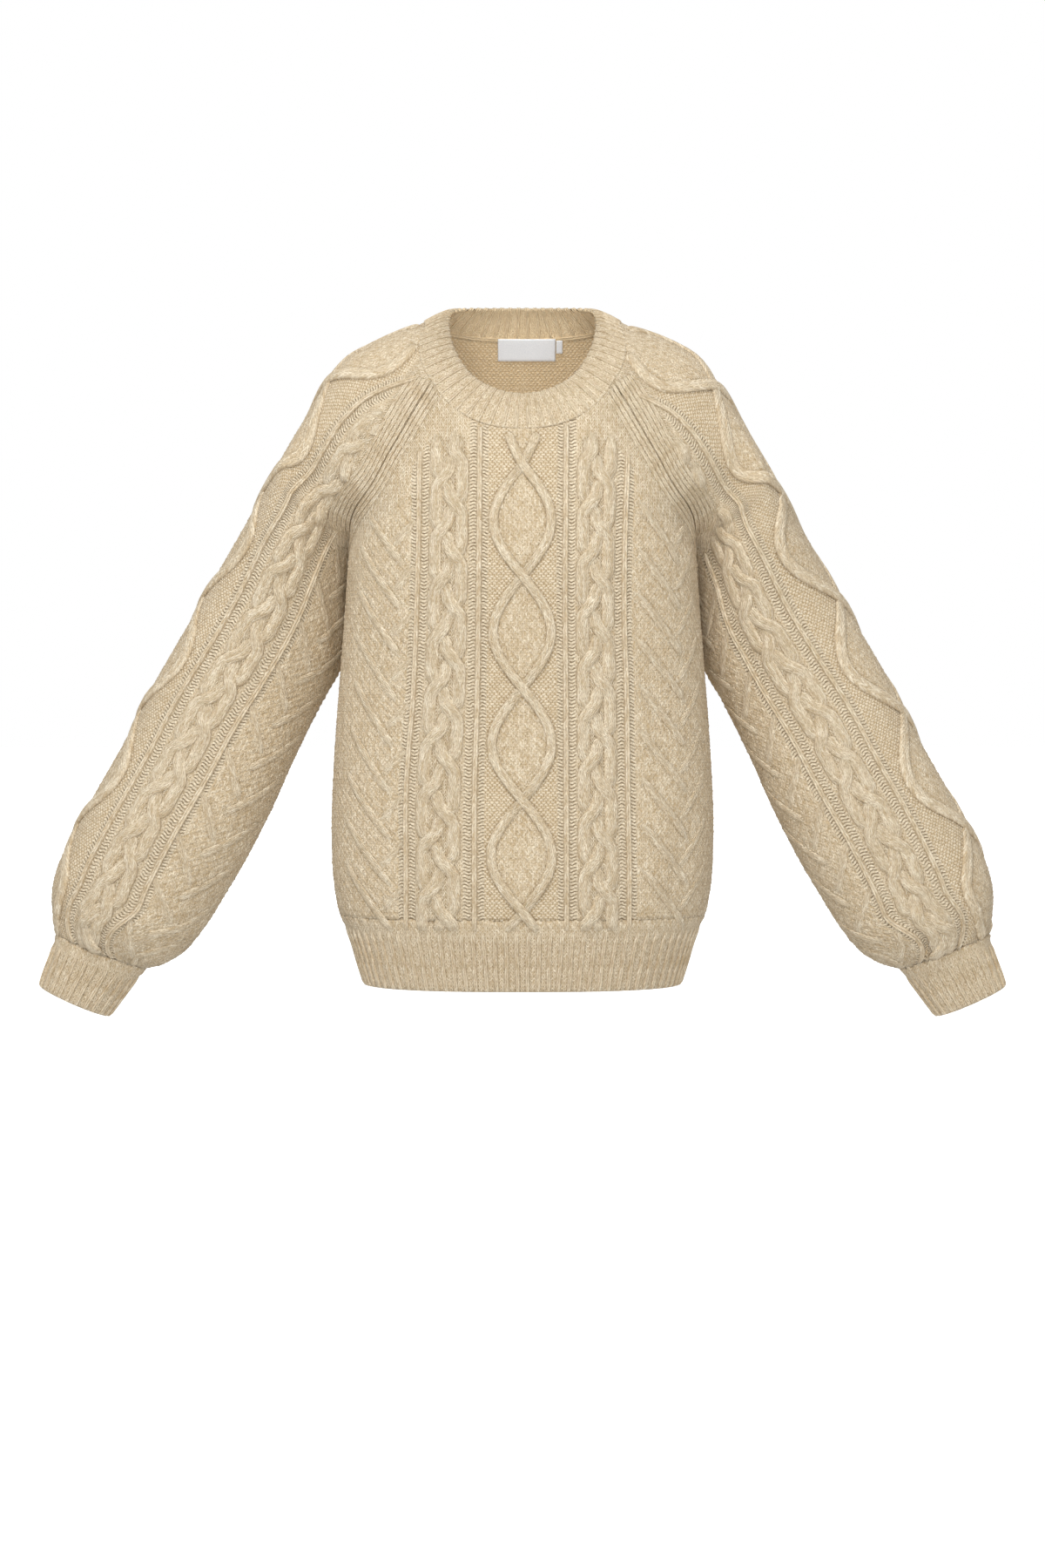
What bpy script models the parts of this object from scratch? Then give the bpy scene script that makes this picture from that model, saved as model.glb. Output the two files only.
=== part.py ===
"""Cable-knit raglan sweater in its worn form: hollow cloth walls on a general figure.

All sizes below are in millimetres. The front faces -Y, the wearer's left is +X, and the origin
lies inside the neck, where the shoulders hold the garment up. Each piece is a thin closed wall
made from a grid of outer points, whose rows run from its lower edge to its upper edge.
"""
import bmesh
import bpy
import numpy as np

MM = 0.001
CLOTH = 3.0                  # wall thickness of the knitted panels
RIB = 3.4                    # wall thickness of the ribbed hem and cuffs
COLLAR = 4.6                 # the neck rib is a doubled band
LABEL = 0.8                  # woven label
SEAM = 0.3                   # clear gap between two sewn pieces
LABEL_GAP = 0.9              # clear gap between the label and the flat faces behind it
UNDERARM_GAP = 1.2           # clear gap between the sleeve and the side of the body
ROUNDNESS = 2.5              # superellipse power of the body sections

HEM_BOTTOM = -597.0
HEM_TOP = -531.3
UNDERARM = -195.0            # height where front, back and sleeve meet
SIDE_SEAM = 94.5             # degrees round from the front centre to the side seam

PANEL_COLUMNS = 20           # faces across the front or the back
PANEL_ROWS = 11              # faces from the hem to the underarm
YOKE_ROWS = 8                # faces from the underarm to the neck
HEM_ROWS = 3
SLEEVE_SIDE = 10             # faces from the underarm seam to the crest of a sleeve
TUBE_ROWS = 15               # faces along a sleeve from the cuff to the underarm

# Label and size tab: left, right, bottom and top, on the inner face of the back.
LABELS = {"neck_label": (-24.0, 32.0, -8.5, 12.0), "size_tab": (32.4, 38.4, -0.5, 11.5)}

# Colour, roughness and metallic of each kind of cloth.
FINISHES = {
    "wool": ((0.63, 0.52, 0.36, 1.0), 0.92, 0.0),
    "rib": ((0.58, 0.47, 0.32, 1.0), 0.92, 0.0),
    "label": ((0.74, 0.76, 0.76, 1.0), 0.55, 0.0),
}


def table(names, *rows):
    """Columns of a small table by name; the first column rises steadily."""
    return dict(zip(names.split(), np.array(rows, float).T))


# Neckline of each panel: the height at its raglan ends, its dip at the centre, the power of its
# curve, and the degrees round from the front centre to the panel's own centre.
NECKLINE = {
    "front": {"ends": -34.0, "dip": 46.0, "power": 1.9, "centre": 0.0},
    "back": {"ends": 20.0, "dip": 7.0, "power": 2.0, "centre": 180.0},
}

# Body sections; above the underarm they are wider than the panels, which the raglan lines cut.
TORSO = table(
    "height half_width front back",
    (-600.0, 148.5, 106.0, 106.0),
    (-580.0, 155.0, 109.0, 109.0),
    (-555.0, 162.5, 113.0, 113.0),
    (-533.0, 171.5, 117.0, 117.0),
    (-505.0, 177.0, 120.0, 119.0),
    (-460.0, 179.5, 120.0, 117.0),
    (-400.0, 178.0, 118.0, 113.0),
    (-340.0, 174.0, 117.0, 111.0),
    (-300.0, 171.0, 117.0, 112.0),
    (-258.0, 168.0, 117.0, 114.0),
    (-200.0, 164.0, 116.0, 117.0),
    (-168.0, 162.5, 112.0, 118.0),
    (-140.0, 168.0, 107.0, 117.0),
    (-100.0, 170.0, 96.0, 113.0),
    (-60.0, 165.0, 82.0, 106.0),
    (-34.0, 155.0, 73.0, 99.0),
    (0.0, 140.0, 62.0, 86.0),
    (30.0, 130.0, 55.0, 70.0),
)

# Raglan seams, as degrees round the body sections from the front centre.
RAGLAN = table(
    "height front back",
    (-195.0, 94.5, 94.5),
    (-180.0, 89.0, 99.5),
    (-166.0, 79.0, 107.0),
    (-140.0, 56.7, 123.0),
    (-100.0, 41.3, 136.0),
    (-60.0, 31.7, 143.5),
    (-34.0, 27.5, 146.5),
    (20.0, 26.0, 150.2),
)

# Sleeve tube from the cuff to the underarm: its underarm line, its crest line, how far it
# swells before and behind them, and how far it leans out from the body at the underarm.
SLEEVE = table(
    "station inner_x inner_y inner_z crest_x crest_y crest_z swell lean",
    (0, 354.6, 8.0, -584.5, 440.4, 8.0, -551.0, 38.0, 0.0),
    (1, 338.0, 9.0, -580.0, 443.0, 9.0, -538.0, 47.0, 0.0),
    (2, 318.0, 10.0, -568.0, 444.3, 10.0, -512.0, 56.0, 0.0),
    (3, 299.0, 12.0, -545.0, 437.0, 12.0, -482.0, 61.0, 0.0),
    (4, 284.0, 14.0, -521.0, 420.0, 13.0, -448.0, 63.0, 0.0),
    (5, 262.0, 17.0, -484.0, 399.5, 15.0, -411.0, 64.0, 0.0),
    (6, 237.0, 21.0, -435.0, 372.5, 17.0, -363.0, 63.0, 0.0),
    (7, 215.0, 27.0, -385.0, 348.0, 19.0, -314.0, 62.0, 0.0),
    (8, 191.0, 36.0, -336.0, 320.8, 20.0, -267.0, 62.0, 6.0),
    (9, 167.0, 42.0, -290.0, 293.0, 20.0, -218.5, 64.0, 16.0),
    (10, 164.0, 36.0, -243.0, 267.0, 18.0, -174.0, 66.0, 34.0),
    (11, 164.8, 14.3, -195.0, 250.0, 14.0, -145.0, 60.0, 58.0),
)

# Cuff: the same, from its open end to the sleeve.
CUFF = table(
    "station inner_x inner_y inner_z crest_x crest_y crest_z swell lean",
    (0, 388.6, 6.0, -629.5, 456.0, 6.0, -599.5, 32.0, 0.0),
    (1, 380.0, 6.5, -618.0, 452.5, 6.5, -588.0, 33.0, 0.0),
    (2, 367.0, 7.5, -600.5, 445.0, 7.5, -567.5, 35.5, 0.0),
    (3, 354.9, 8.0, -585.2, 440.8, 8.0, -551.7, 38.0, 0.0),
)

# Crest of the raglan cap, from the underarm row up to the collar.
CREST = table(
    "station x y z",
    (0, 250.0, 14.0, -145.0),
    (1, 233.0, 14.0, -115.0),
    (2, 219.0, 13.0, -90.0),
    (3, 205.0, 12.0, -65.5),
    (4, 191.0, 11.0, -41.0),
    (5, 183.0, 10.0, -28.5),
    (6, 173.5, 9.0, -16.5),
    (7, 160.0, 9.0, -4.0),
    (8, 136.5, 8.0, 8.5),
    (9, 112.0, 7.0, 17.5),
    (10, 92.0, 6.0, 24.0),
)

# Cap rows, by their share of the way up: how far they run out from the raglan seams and from
# the crest before they bend, how much they start out of the underarm fold and not level with
# the panels, and how steeply they cross the crest.
CAP = table(
    "rise seam_arm crest_arm fold tilt",
    (0.0, 99.0, 80.0, 1.0, 0.0),
    (0.125, 90.0, 83.0, 0.95, 0.0),
    (0.25, 74.0, 86.0, 0.72, 0.0),
    (0.375, 62.0, 82.0, 0.42, 0.0),
    (0.5, 54.0, 74.0, 0.2, 0.0),
    (0.75, 45.0, 54.0, 0.0, 3.0),
    (1.0, 35.0, 35.0, 0.0, 9.0),
)

# Upper edge of the neck rib, by degrees round from the front centre.
NECK_EDGE = table(
    "angle x y z",
    (0.0, 0.0, -66.0, -45.8),
    (20.0, 22.0, -63.0, -41.5),
    (42.0, 45.0, -50.0, -28.0),
    (68.0, 62.5, -24.0, 0.0),
    (90.0, 68.0, 6.0, 26.0),
    (110.0, 67.0, 30.0, 38.0),
    (135.0, 53.0, 51.0, 43.5),
    (160.0, 26.0, 60.0, 45.0),
    (180.0, 0.0, 62.0, 45.3),
)

# Rows of the neck rib: share of the way up from the neckline, and swell outwards there.
COLLAR_ROWS = table(
    "share swell",
    (0.0, 0.0),
    (0.4, 2.0),
    (0.85, 1.6),
    (1.0, 0.0),
)


def read(columns, name, at):
    """Smooth value of one column of a table."""
    keys = next(iter(columns.values()))
    values = columns[name]
    slopes = np.gradient(values, keys)
    at = np.clip(np.asarray(at, float), keys[0], keys[-1])
    cell = np.clip(np.searchsorted(keys, at, side="right") - 1, 0, len(keys) - 2)
    width = keys[cell + 1] - keys[cell]
    part = (at - keys[cell]) / width
    low = values[cell] * (1 + 2 * part) * (1 - part) ** 2
    high = values[cell + 1] * part ** 2 * (3 - 2 * part)
    bend = slopes[cell] * part * (1 - part) ** 2 - slopes[cell + 1] * part ** 2 * (1 - part)
    return low + high + width * bend


def read_point(columns, names, at):
    """Point whose x, y and z are three columns of a table."""
    return np.stack([read(columns, name, at) for name in names.split()], axis=-1)


def ease(value):
    """Smooth step from 0 to 1."""
    value = np.clip(value, 0.0, 1.0)
    return value * value * (3 - 2 * value)


def unit(vectors):
    """Vectors of length one."""
    return vectors / np.linalg.norm(vectors, axis=-1, keepdims=True)


def run_along(line):
    """Distance along a line of points, from its start to each of them."""
    steps = np.linalg.norm(np.diff(line, axis=0), axis=1)
    return np.concatenate([[0.0], np.cumsum(steps)])


def mirrored(grid):
    """The same points on the wearer's other side."""
    return grid * np.array([-1.0, 1.0, 1.0])


def body_depth(y, height):
    """Depth of the body section before or behind its middle."""
    return np.where(y < 0, read(TORSO, "front", height), read(TORSO, "back", height))


def body_point(angle, height):
    """Point of the body's outer face, by degrees round from the front centre."""
    turn = np.radians(angle)
    across = np.sin(turn)
    ahead = np.cos(turn)
    power = 2 / ROUNDNESS
    x = read(TORSO, "half_width", height) * np.sign(across) * np.abs(across) ** power
    y = -body_depth(-ahead, height) * np.sign(ahead) * np.abs(ahead) ** power
    return np.stack([x, y, np.broadcast_to(height, np.shape(x)) * 1.0], axis=-1)


def body_normals(points):
    """Unit normals of the body sections at points that lie on them."""
    x, y, height = points[..., 0], points[..., 1], points[..., 2]

    def level(at):
        share_x = np.abs(x) / read(TORSO, "half_width", at)
        return share_x ** ROUNDNESS + (np.abs(y) / body_depth(y, at)) ** ROUNDNESS

    width = read(TORSO, "half_width", height)
    depth = body_depth(y, height)
    push_x = ROUNDNESS * np.abs(x / width) ** (ROUNDNESS - 1) * np.sign(x) / width
    push_y = ROUNDNESS * np.abs(y / depth) ** (ROUNDNESS - 1) * np.sign(y) / depth
    push_z = (level(height + 1.0) - level(height - 1.0)) / 2
    return unit(np.stack([push_x, push_y, push_z], axis=-1))


def panel_angles(side):
    """Angles that step evenly across a panel, from one side seam to the other."""
    reach = abs(NECKLINE[side]["centre"] - SIDE_SEAM)
    fine = np.linspace(-reach, reach, 401)
    run = run_along(body_point(NECKLINE[side]["centre"] + fine, -300.0))
    return np.interp(np.linspace(0.0, run[-1], PANEL_COLUMNS + 1), run, fine)


def seam_line(side):
    """Angles and heights of evenly spaced points up a raglan seam, from the underarm."""
    fine = np.linspace(UNDERARM, NECKLINE[side]["ends"], 200)
    run = run_along(body_point(read(RAGLAN, side, fine), fine))
    height = np.interp(np.linspace(0.0, run[-1], YOKE_ROWS + 1), run, fine)
    return read(RAGLAN, side, height), height


def panel_grid(side):
    """Outer face of the front or the back, from the hem rib to the neckline."""
    neck = NECKLINE[side]
    angles = panel_angles(side)
    share = angles / angles[-1]
    rows = []
    for height in np.linspace(HEM_TOP + SEAM / 2, UNDERARM, PANEL_ROWS + 1):
        rows.append(body_point(neck["centre"] + angles, height))
    for edge, height in list(zip(*seam_line(side)))[1:]:
        rise = (height - UNDERARM) / (neck["ends"] - UNDERARM)
        dip = rise * neck["dip"] * (1 - np.abs(share) ** neck["power"])
        reach = abs(neck["centre"] - edge)
        rows.append(body_point(neck["centre"] + share * reach, height - dip))
    return np.array(rows)


def hem_grid(side):
    """Outer face of the ribbed hem, front or back."""
    angles = NECKLINE[side]["centre"] + panel_angles(side)
    heights = np.linspace(HEM_BOTTOM, HEM_TOP - SEAM / 2, HEM_ROWS + 1)
    return np.array([body_point(angles, height) for height in heights])


def curve_points(start, start_arm, end, end_arm):
    """Points on a cubic curve between two ends with the given arms."""
    at = np.linspace(0.0, 1.0, SLEEVE_SIDE + 1)[:, None]
    rest = 1 - at
    middle = 3 * at * rest ** 2 * (start + start_arm) + 3 * at ** 2 * rest * (end + end_arm)
    return rest ** 3 * start + middle + at ** 3 * end


def clear_of_body(points):
    """Sleeve points below the underarm, moved sideways until they clear the body."""
    x, y, height = points.T
    share = np.clip(np.abs(y) / body_depth(y, height), 0.0, 1.0)
    side = read(TORSO, "half_width", height) * (1 - share ** ROUNDNESS) ** (1 / ROUNDNESS)
    least = np.where(height <= UNDERARM, side + UNDERARM_GAP, 0.0)
    return np.stack([np.maximum(x, least), y, height], axis=1)


def tube_ring(columns, station):
    """Closed ring of a sleeve, from the underarm round the front, the crest and the back."""
    inner = read_point(columns, "inner_x inner_y inner_z", station)
    crest = read_point(columns, "crest_x crest_y crest_z", station)
    outward = unit(crest - inner) * read(columns, "lean", station)
    depth = np.array([0.0, read(columns, "swell", station) * 4 / 3, 0.0])
    front = curve_points(inner, outward - depth, crest, -depth)
    back = curve_points(crest, depth, inner, outward + depth)
    return clear_of_body(np.concatenate([front, back[1:]]))


def seam_way(side, angle, height, rise):
    """Direction in which the cap leaves a raglan seam: out of the underarm fold low down, and
    level with the panel and slanting up further on."""
    sign = 1.0 if side == "front" else -1.0
    level = unit(body_point(angle + sign, height) - body_point(angle - sign, height))
    climb = unit(body_point(angle, height + 1.0) - body_point(angle, height - 1.0))
    slope = np.radians(44.0 if side == "front" else 30.0) * ease(rise / 0.4)
    smooth = np.cos(slope) * level + np.sin(slope) * climb
    fold = unit(np.array([0.6 + rise, -sign * (0.8 - 1.8 * rise), rise]))
    return unit(smooth + (fold - smooth) * read(CAP, "fold", rise))


def crest_line():
    """Evenly spaced points along the crest, from the underarm row to the collar."""
    line = read_point(CREST, "x y z", np.linspace(0, CREST["station"][-1], 300))
    run = run_along(line)
    at = np.linspace(0.0, run[-1], YOKE_ROWS + 1)
    return np.stack([np.interp(at, run, line[:, axis]) for axis in range(3)], axis=1)


def cap_rows():
    """Open rows of the cap, from the front raglan seam over the crest to the back one."""
    crest = crest_line()
    rows = []
    for row in range(1, YOKE_ROWS + 1):
        rise = row / YOKE_ROWS
        tilt = np.radians(read(CAP, "tilt", rise))
        over = np.array([0.0, np.cos(tilt), np.sin(tilt)]) * read(CAP, "crest_arm", rise)
        halves = []
        for side, crest_arm in (("front", -over), ("back", over)):
            angle, height = (values[row] for values in seam_line(side))
            arm = seam_way(side, angle, height, rise) * read(CAP, "seam_arm", rise)
            halves.append(curve_points(body_point(angle, height), arm, crest[row], crest_arm))
        rows.append(np.concatenate([halves[0], halves[1][-2::-1]]))
    return rows


def grid_normals(grid, joined):
    """Unit normals of a grid whose first `joined` rows close on themselves."""
    along = np.gradient(grid, axis=0)
    across = np.gradient(grid, axis=1)
    across[:joined, 0] = (grid[:joined, 1] - grid[:joined, -2]) / 2
    across[:joined, -1] = across[:joined, 0]
    return unit(np.cross(across, along))


def sleeve_grid():
    """Outer face of the left sleeve, from the cuff to the collar, and its normals, which match
    the panels' normals where the raglan seams lie flat."""
    stations = np.linspace(0, SLEEVE["station"][-1], TUBE_ROWS + 1)
    rings = [tube_ring(SLEEVE, station) for station in stations]
    joined = len(rings)
    grid = np.array(rings + cap_rows())
    outward = grid_normals(grid, joined)
    fold = read(CAP, "fold", np.arange(1, YOKE_ROWS + 1) / YOKE_ROWS)[:, None]
    for edge, inside in ((0, 1), (-1, -2)):
        seam = grid[joined:, edge]
        outward[joined:, edge] = unit(outward[joined:, edge] * fold + body_normals(seam) * (1 - fold))
        grid[joined:, edge] += SEAM * unit(grid[joined:, inside] - seam)
    return grid, outward


def collar_grid(front, back, sleeve, sleeve_outward):
    """Outer face of the neck rib, and its normals. It starts at the front centre, and its lower
    edge takes the points and normals of the pieces that it is sewn to."""
    middle = PANEL_COLUMNS // 2
    front_edge = front[-1][middle:-1]
    back_edge = back[-1][1:middle + 1]
    seam = np.concatenate([front_edge, sleeve[-1], back_edge])
    seam_outward = np.concatenate([body_normals(front_edge), sleeve_outward[-1],
                                   body_normals(back_edge)])
    run = run_along(seam)
    high = read_point(NECK_EDGE, "x y z", 180.0 * run / run[-1])
    rise = unit(high - seam)
    low = seam + rise * SEAM
    outward = unit(np.cross(np.gradient(low, axis=0), rise))
    rows = []
    for share, swell in zip(COLLAR_ROWS["share"], COLLAR_ROWS["swell"]):
        half = low + (high - low) * share + outward * swell
        rows.append(np.concatenate([half, mirrored(half[-2::-1])]))
    grid = np.array(rows)
    normals = grid_normals(grid, len(grid))
    normals[0] = np.concatenate([seam_outward, mirrored(seam_outward[-2::-1])])
    return grid, normals


def label_grid(left, right, low, high):
    """Face of a label that lies on the inner side of the back panel."""
    x, height = np.meshgrid(np.linspace(left, right, 6), np.linspace(low, high, 4))
    share = np.abs(x) / read(TORSO, "half_width", height)
    y = read(TORSO, "back", height) * (1 - share ** ROUNDNESS) ** (1 / ROUNDNESS)
    face = np.stack([x, y, height], axis=-1)
    return face - body_normals(face) * (CLOTH + LABEL_GAP)


def drawn_in(grid):
    """A panel with its side edges drawn in by half a seam gap."""
    grid = grid.copy()
    for edge, inside in ((0, 1), (-1, -2)):
        grid[:, edge] += SEAM / 2 * unit(grid[:, inside] - grid[:, edge])
    return grid


def material(name, finish):
    """Principled material of one piece."""
    colour, roughness, metallic = FINISHES[finish]
    cloth = bpy.data.materials.new(name + "_" + finish)
    cloth.use_nodes = True
    shader = cloth.node_tree.nodes["Principled BSDF"]
    shader.inputs["Base Color"].default_value = colour
    shader.inputs["Roughness"].default_value = roughness
    shader.inputs["Metallic"].default_value = metallic
    return cloth


def add_wall(name, finish, grid, outward, thickness, joined=0):
    """Closed solid between a grid of outer points and the same grid moved in. Its first
    `joined` rows are rings, whose last point is the first one again."""
    rows, columns = grid.shape[:2]
    width = columns - 1
    build = bmesh.new()
    layers = []
    for layer in (grid, grid - outward * thickness):
        index = []
        for row, points in enumerate(layer):
            ring = row < joined
            line = [build.verts.new(point * MM) for point in (points[:-1] if ring else points)]
            index.append(line + line[:1] if ring else line)
        layers.append(index)
    outer, inner = layers
    for row in range(rows - 1):
        for index in layers:
            for column in range(width):
                build.faces.new((index[row][column], index[row][column + 1],
                                 index[row + 1][column + 1], index[row + 1][column]))
        if row + 1 >= joined:
            for column in (0, width):
                build.faces.new((outer[row][column], outer[row + 1][column],
                                 inner[row + 1][column], inner[row][column]))
    for row in (0, rows - 1):
        for column in range(width):
            build.faces.new((outer[row][column], outer[row][column + 1],
                             inner[row][column + 1], inner[row][column]))
    bmesh.ops.recalc_face_normals(build, faces=build.faces)
    bmesh.ops.triangulate(build, faces=build.faces)
    mesh = bpy.data.meshes.new(name)
    build.to_mesh(mesh)
    build.free()
    mesh.materials.append(material(name, finish))
    bpy.context.scene.collection.objects.link(bpy.data.objects.new(name, mesh))


def build_sweater():
    """Make every piece of the sweater."""
    for thing in list(bpy.data.objects):
        bpy.data.objects.remove(thing, do_unlink=True)
    panels = {side: panel_grid(side) for side in NECKLINE}
    for side, panel in panels.items():
        hem = hem_grid(side)
        add_wall(side + "_panel", "wool", drawn_in(panel), body_normals(panel), CLOTH)
        add_wall("hem_rib_" + side, "rib", drawn_in(hem), body_normals(hem), RIB)
    sleeve, outward = sleeve_grid()
    add_wall("sleeve_left", "wool", sleeve, outward, CLOTH, TUBE_ROWS + 1)
    add_wall("sleeve_right", "wool", mirrored(sleeve), mirrored(outward), CLOTH, TUBE_ROWS + 1)
    cuff = np.array([tube_ring(CUFF, station)[::2] for station in CUFF["station"]])
    cuff_outward = grid_normals(cuff, len(cuff))
    add_wall("cuff_left", "rib", cuff, cuff_outward, RIB, len(cuff))
    add_wall("cuff_right", "rib", mirrored(cuff), mirrored(cuff_outward), RIB, len(cuff))
    collar, collar_outward = collar_grid(panels["front"], panels["back"], sleeve, outward)
    add_wall("neck_rib", "rib", collar, collar_outward, COLLAR, len(collar))
    for name, sizes in LABELS.items():
        label = label_grid(*sizes)
        add_wall(name, "label", label, body_normals(label), LABEL)


build_sweater()
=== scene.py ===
"""Looks of the cable-knit raglan sweater: knitted ground, cables, ribs, labels and wool.

Sizes are in millimetres until a mesh is made. The form is worked out from the same sections as
the solids. On it every piece is laid out as a knitter's plan: a distance across from its middle
wale, and a distance along its rows, with the stitches counted from those.
"""

import bpy
import numpy as np
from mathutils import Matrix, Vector
from mathutils.kdtree import KDTree


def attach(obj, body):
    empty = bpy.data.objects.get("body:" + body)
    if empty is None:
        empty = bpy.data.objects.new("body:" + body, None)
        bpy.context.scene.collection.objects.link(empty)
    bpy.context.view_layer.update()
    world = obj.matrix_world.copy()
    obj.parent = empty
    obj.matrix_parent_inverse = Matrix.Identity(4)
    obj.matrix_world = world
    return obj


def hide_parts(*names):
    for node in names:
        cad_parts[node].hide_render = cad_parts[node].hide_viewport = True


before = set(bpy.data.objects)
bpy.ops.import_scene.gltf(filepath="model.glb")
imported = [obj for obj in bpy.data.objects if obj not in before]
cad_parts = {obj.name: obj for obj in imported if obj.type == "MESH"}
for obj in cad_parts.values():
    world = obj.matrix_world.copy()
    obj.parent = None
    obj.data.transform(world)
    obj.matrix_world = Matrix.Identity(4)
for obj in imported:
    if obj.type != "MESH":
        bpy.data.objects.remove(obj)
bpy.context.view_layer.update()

MM = 0.001
SEAM = 0.3                   # clear gap between two sewn pieces
UNDERARM_GAP = -2.6          # from the body's side to the sleeve; below 0 the sleeve presses in
ROUNDNESS = 2.5              # superellipse power of the body sections
HEM_BOTTOM = -597.0
HEM_TOP = -531.3
UNDERARM = -195.0            # height where front, back and sleeve meet
SIDE_SEAM = 94.5             # degrees round from the front centre to the side seam

FAR = 1000.0                 # stands for a distance or a number that is never reached

STITCH = 4.26                # width of a stitch
ROW = 3.18                   # height of a stitch
RIB_PITCH = 9.7              # from one rib to the next
GROUND = -1.0                # level of the plain ground against the outer face of the solids
INNER = -3.0                 # level of the inner face of the panels
RIB_INNER = -3.4             # level of the inner face of the ribbed bands
COLLAR = 4.6                 # thickness of the doubled neck rib
COLLAR_ROW = ROW / 1.6       # its rows lie closer, to go round the fold


def table(names, *rows):
    """Columns of a small table by name; the first column rises steadily."""
    return dict(zip(names.split(), np.array(rows, float).T))


# Neckline of each panel: the height at its raglan ends, its dip at the centre, the power of its
# curve, and the degrees round from the front centre to the panel's own centre.
NECKLINE = {
    "front": {"ends": -34.0, "dip": 46.0, "power": 1.9, "centre": 0.0},
    "back": {"ends": 20.0, "dip": 7.0, "power": 2.0, "centre": 180.0},
}

# Body sections; above the underarm they are wider than the panels, which the raglan lines cut.
TORSO = table(
    "height half_width front back",
    (-600, 148.5, 106, 106),
    (-580, 155, 109, 109),
    (-555, 162.5, 113, 113),
    (-533, 171.5, 117, 117),
    (-505, 177, 120, 119),
    (-460, 179.5, 120, 117),
    (-400, 178, 118, 113),
    (-340, 174, 117, 111),
    (-300, 171, 117, 112),
    (-258, 168, 117, 114),
    (-200, 164, 116, 117),
    (-168, 162.5, 112, 118),
    (-140, 168, 107, 117),
    (-100, 170, 96, 113),
    (-60, 165, 82, 106),
    (-34, 155, 73, 99),
    (0, 140, 62, 86),
    (30, 130, 55, 70),
)

# Raglan seams, as degrees round the body sections from the front centre.
RAGLAN = table(
    "height front back",
    (-195, 94.5, 94.5),
    (-180, 89, 99.5),
    (-166, 79, 107),
    (-140, 56.7, 123),
    (-100, 41.3, 136),
    (-60, 31.7, 143.5),
    (-34, 27.5, 146.5),
    (20, 26, 150.2),
)

# Sleeve tube from the cuff to the underarm: its underarm line, its crest line, how far it
# swells before and behind them, and how far it leans out from the body at the underarm.
SLEEVE = table(
    "station inner_x inner_y inner_z crest_x crest_y crest_z swell lean",
    (0, 354.6, 8, -584.5, 440.4, 8, -551, 38, 0),
    (1, 338, 9, -580, 443, 9, -538, 47, 0),
    (2, 318, 10, -568, 444.3, 10, -512, 56, 0),
    (3, 299, 12, -545, 437, 12, -482, 61, 0),
    (4, 284, 14, -521, 420, 13, -448, 63, 0),
    (5, 262, 17, -484, 399.5, 15, -411, 64, 0),
    (6, 237, 21, -435, 372.5, 17, -363, 63, 0),
    (7, 215, 27, -385, 348, 19, -314, 62, 0),
    (8, 191, 36, -336, 320.8, 20, -267, 62, 6),
    (9, 167, 42, -290, 293, 20, -218.5, 64, 16),
    (10, 162, 36, -243, 267, 18, -174, 66, 34),
    (11, 161.4, 14.3, -195, 250, 14, -145, 60, 58),
)

# Cuff: the same, from its open end to the sleeve.
CUFF = table(
    "station inner_x inner_y inner_z crest_x crest_y crest_z swell lean",
    (0, 388.6, 6, -629.5, 456, 6, -599.5, 32, 0),
    (1, 380, 6.5, -618, 452.5, 6.5, -588, 33, 0),
    (2, 367, 7.5, -600.5, 445, 7.5, -567.5, 35.5, 0),
    (3, 354.9, 8, -585.2, 440.8, 8, -551.7, 38, 0),
)

# Crest of the raglan cap, from the underarm row up to the collar.
CREST = table(
    "station x y z",
    (0, 250, 14, -145),
    (1, 233, 14, -115),
    (2, 219, 13, -90),
    (3, 205, 12, -65.5),
    (4, 191, 11, -41),
    (5, 183, 10, -28.5),
    (6, 173.5, 9, -16.5),
    (7, 160, 9, -4),
    (8, 136.5, 8, 8.5),
    (9, 112, 7, 17.5),
    (10, 92, 6, 24),
)

# Cap rows, by their share of the way up: how far they run out from the raglan seams and from
# the crest before they bend, how much they start out of the underarm fold and not level with
# the panels, and how steeply they cross the crest.
CAP = table(
    "rise seam_arm crest_arm fold tilt",
    (0, 99, 80, 1, 0),
    (0.125, 90, 83, 0.95, 0),
    (0.25, 74, 86, 0.72, 0),
    (0.375, 62, 82, 0.42, 0),
    (0.5, 54, 74, 0.2, 0),
    (0.75, 45, 54, 0, 3),
    (1, 35, 35, 0, 9),
)

# Upper edge of the neck rib, by degrees round from the front centre.
NECK_EDGE = table(
    "angle x y z",
    (0, 0, -66, -45.8),
    (20, 22, -63, -41.5),
    (42, 45, -50, -28),
    (68, 62.5, -24, 0),
    (90, 68, 6, 26),
    (110, 67, 30, 38),
    (135, 53, 51, 43.5),
    (160, 26, 60, 45),
    (180, 0, 62, 45.3),
)

# Outer face of the neck rib: share of the way up from the neckline, and swell outwards there.
COLLAR_ROWS = table(
    "share swell",
    (0, 0),
    (0.4, 2),
    (0.85, 1.6),
    (1, 0),
)

# Places across each kind of panel, from its middle wale: how far the diamonds reach, the two
# single ridges on either side of the plait, the plait's middle, and the inner end, tip and outer
# end of the chevrons on the left (1) and on the right (-1).
PLANS = {
    "body": {"diamond": 26.0, "ridges": (38.8, 93.8), "plait": 66.3,
             "chevron": {1: (107.0, 146.0, 188.0), -1: (101.0, 122.0, 166.0)}},
    "sleeve": {"diamond": 43.0, "ridges": (62.0, 124.0), "plait": 93.0,
               "chevron": {1: (130.0, 166.0, 203.0), -1: (130.0, 166.0, 203.0)}},
}
PLAIT_REACH = 11.9           # from the middle of the plait to its outer strands
PLAIT_REPEAT = 47.1          # from one crossing to the next on the same side
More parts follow.
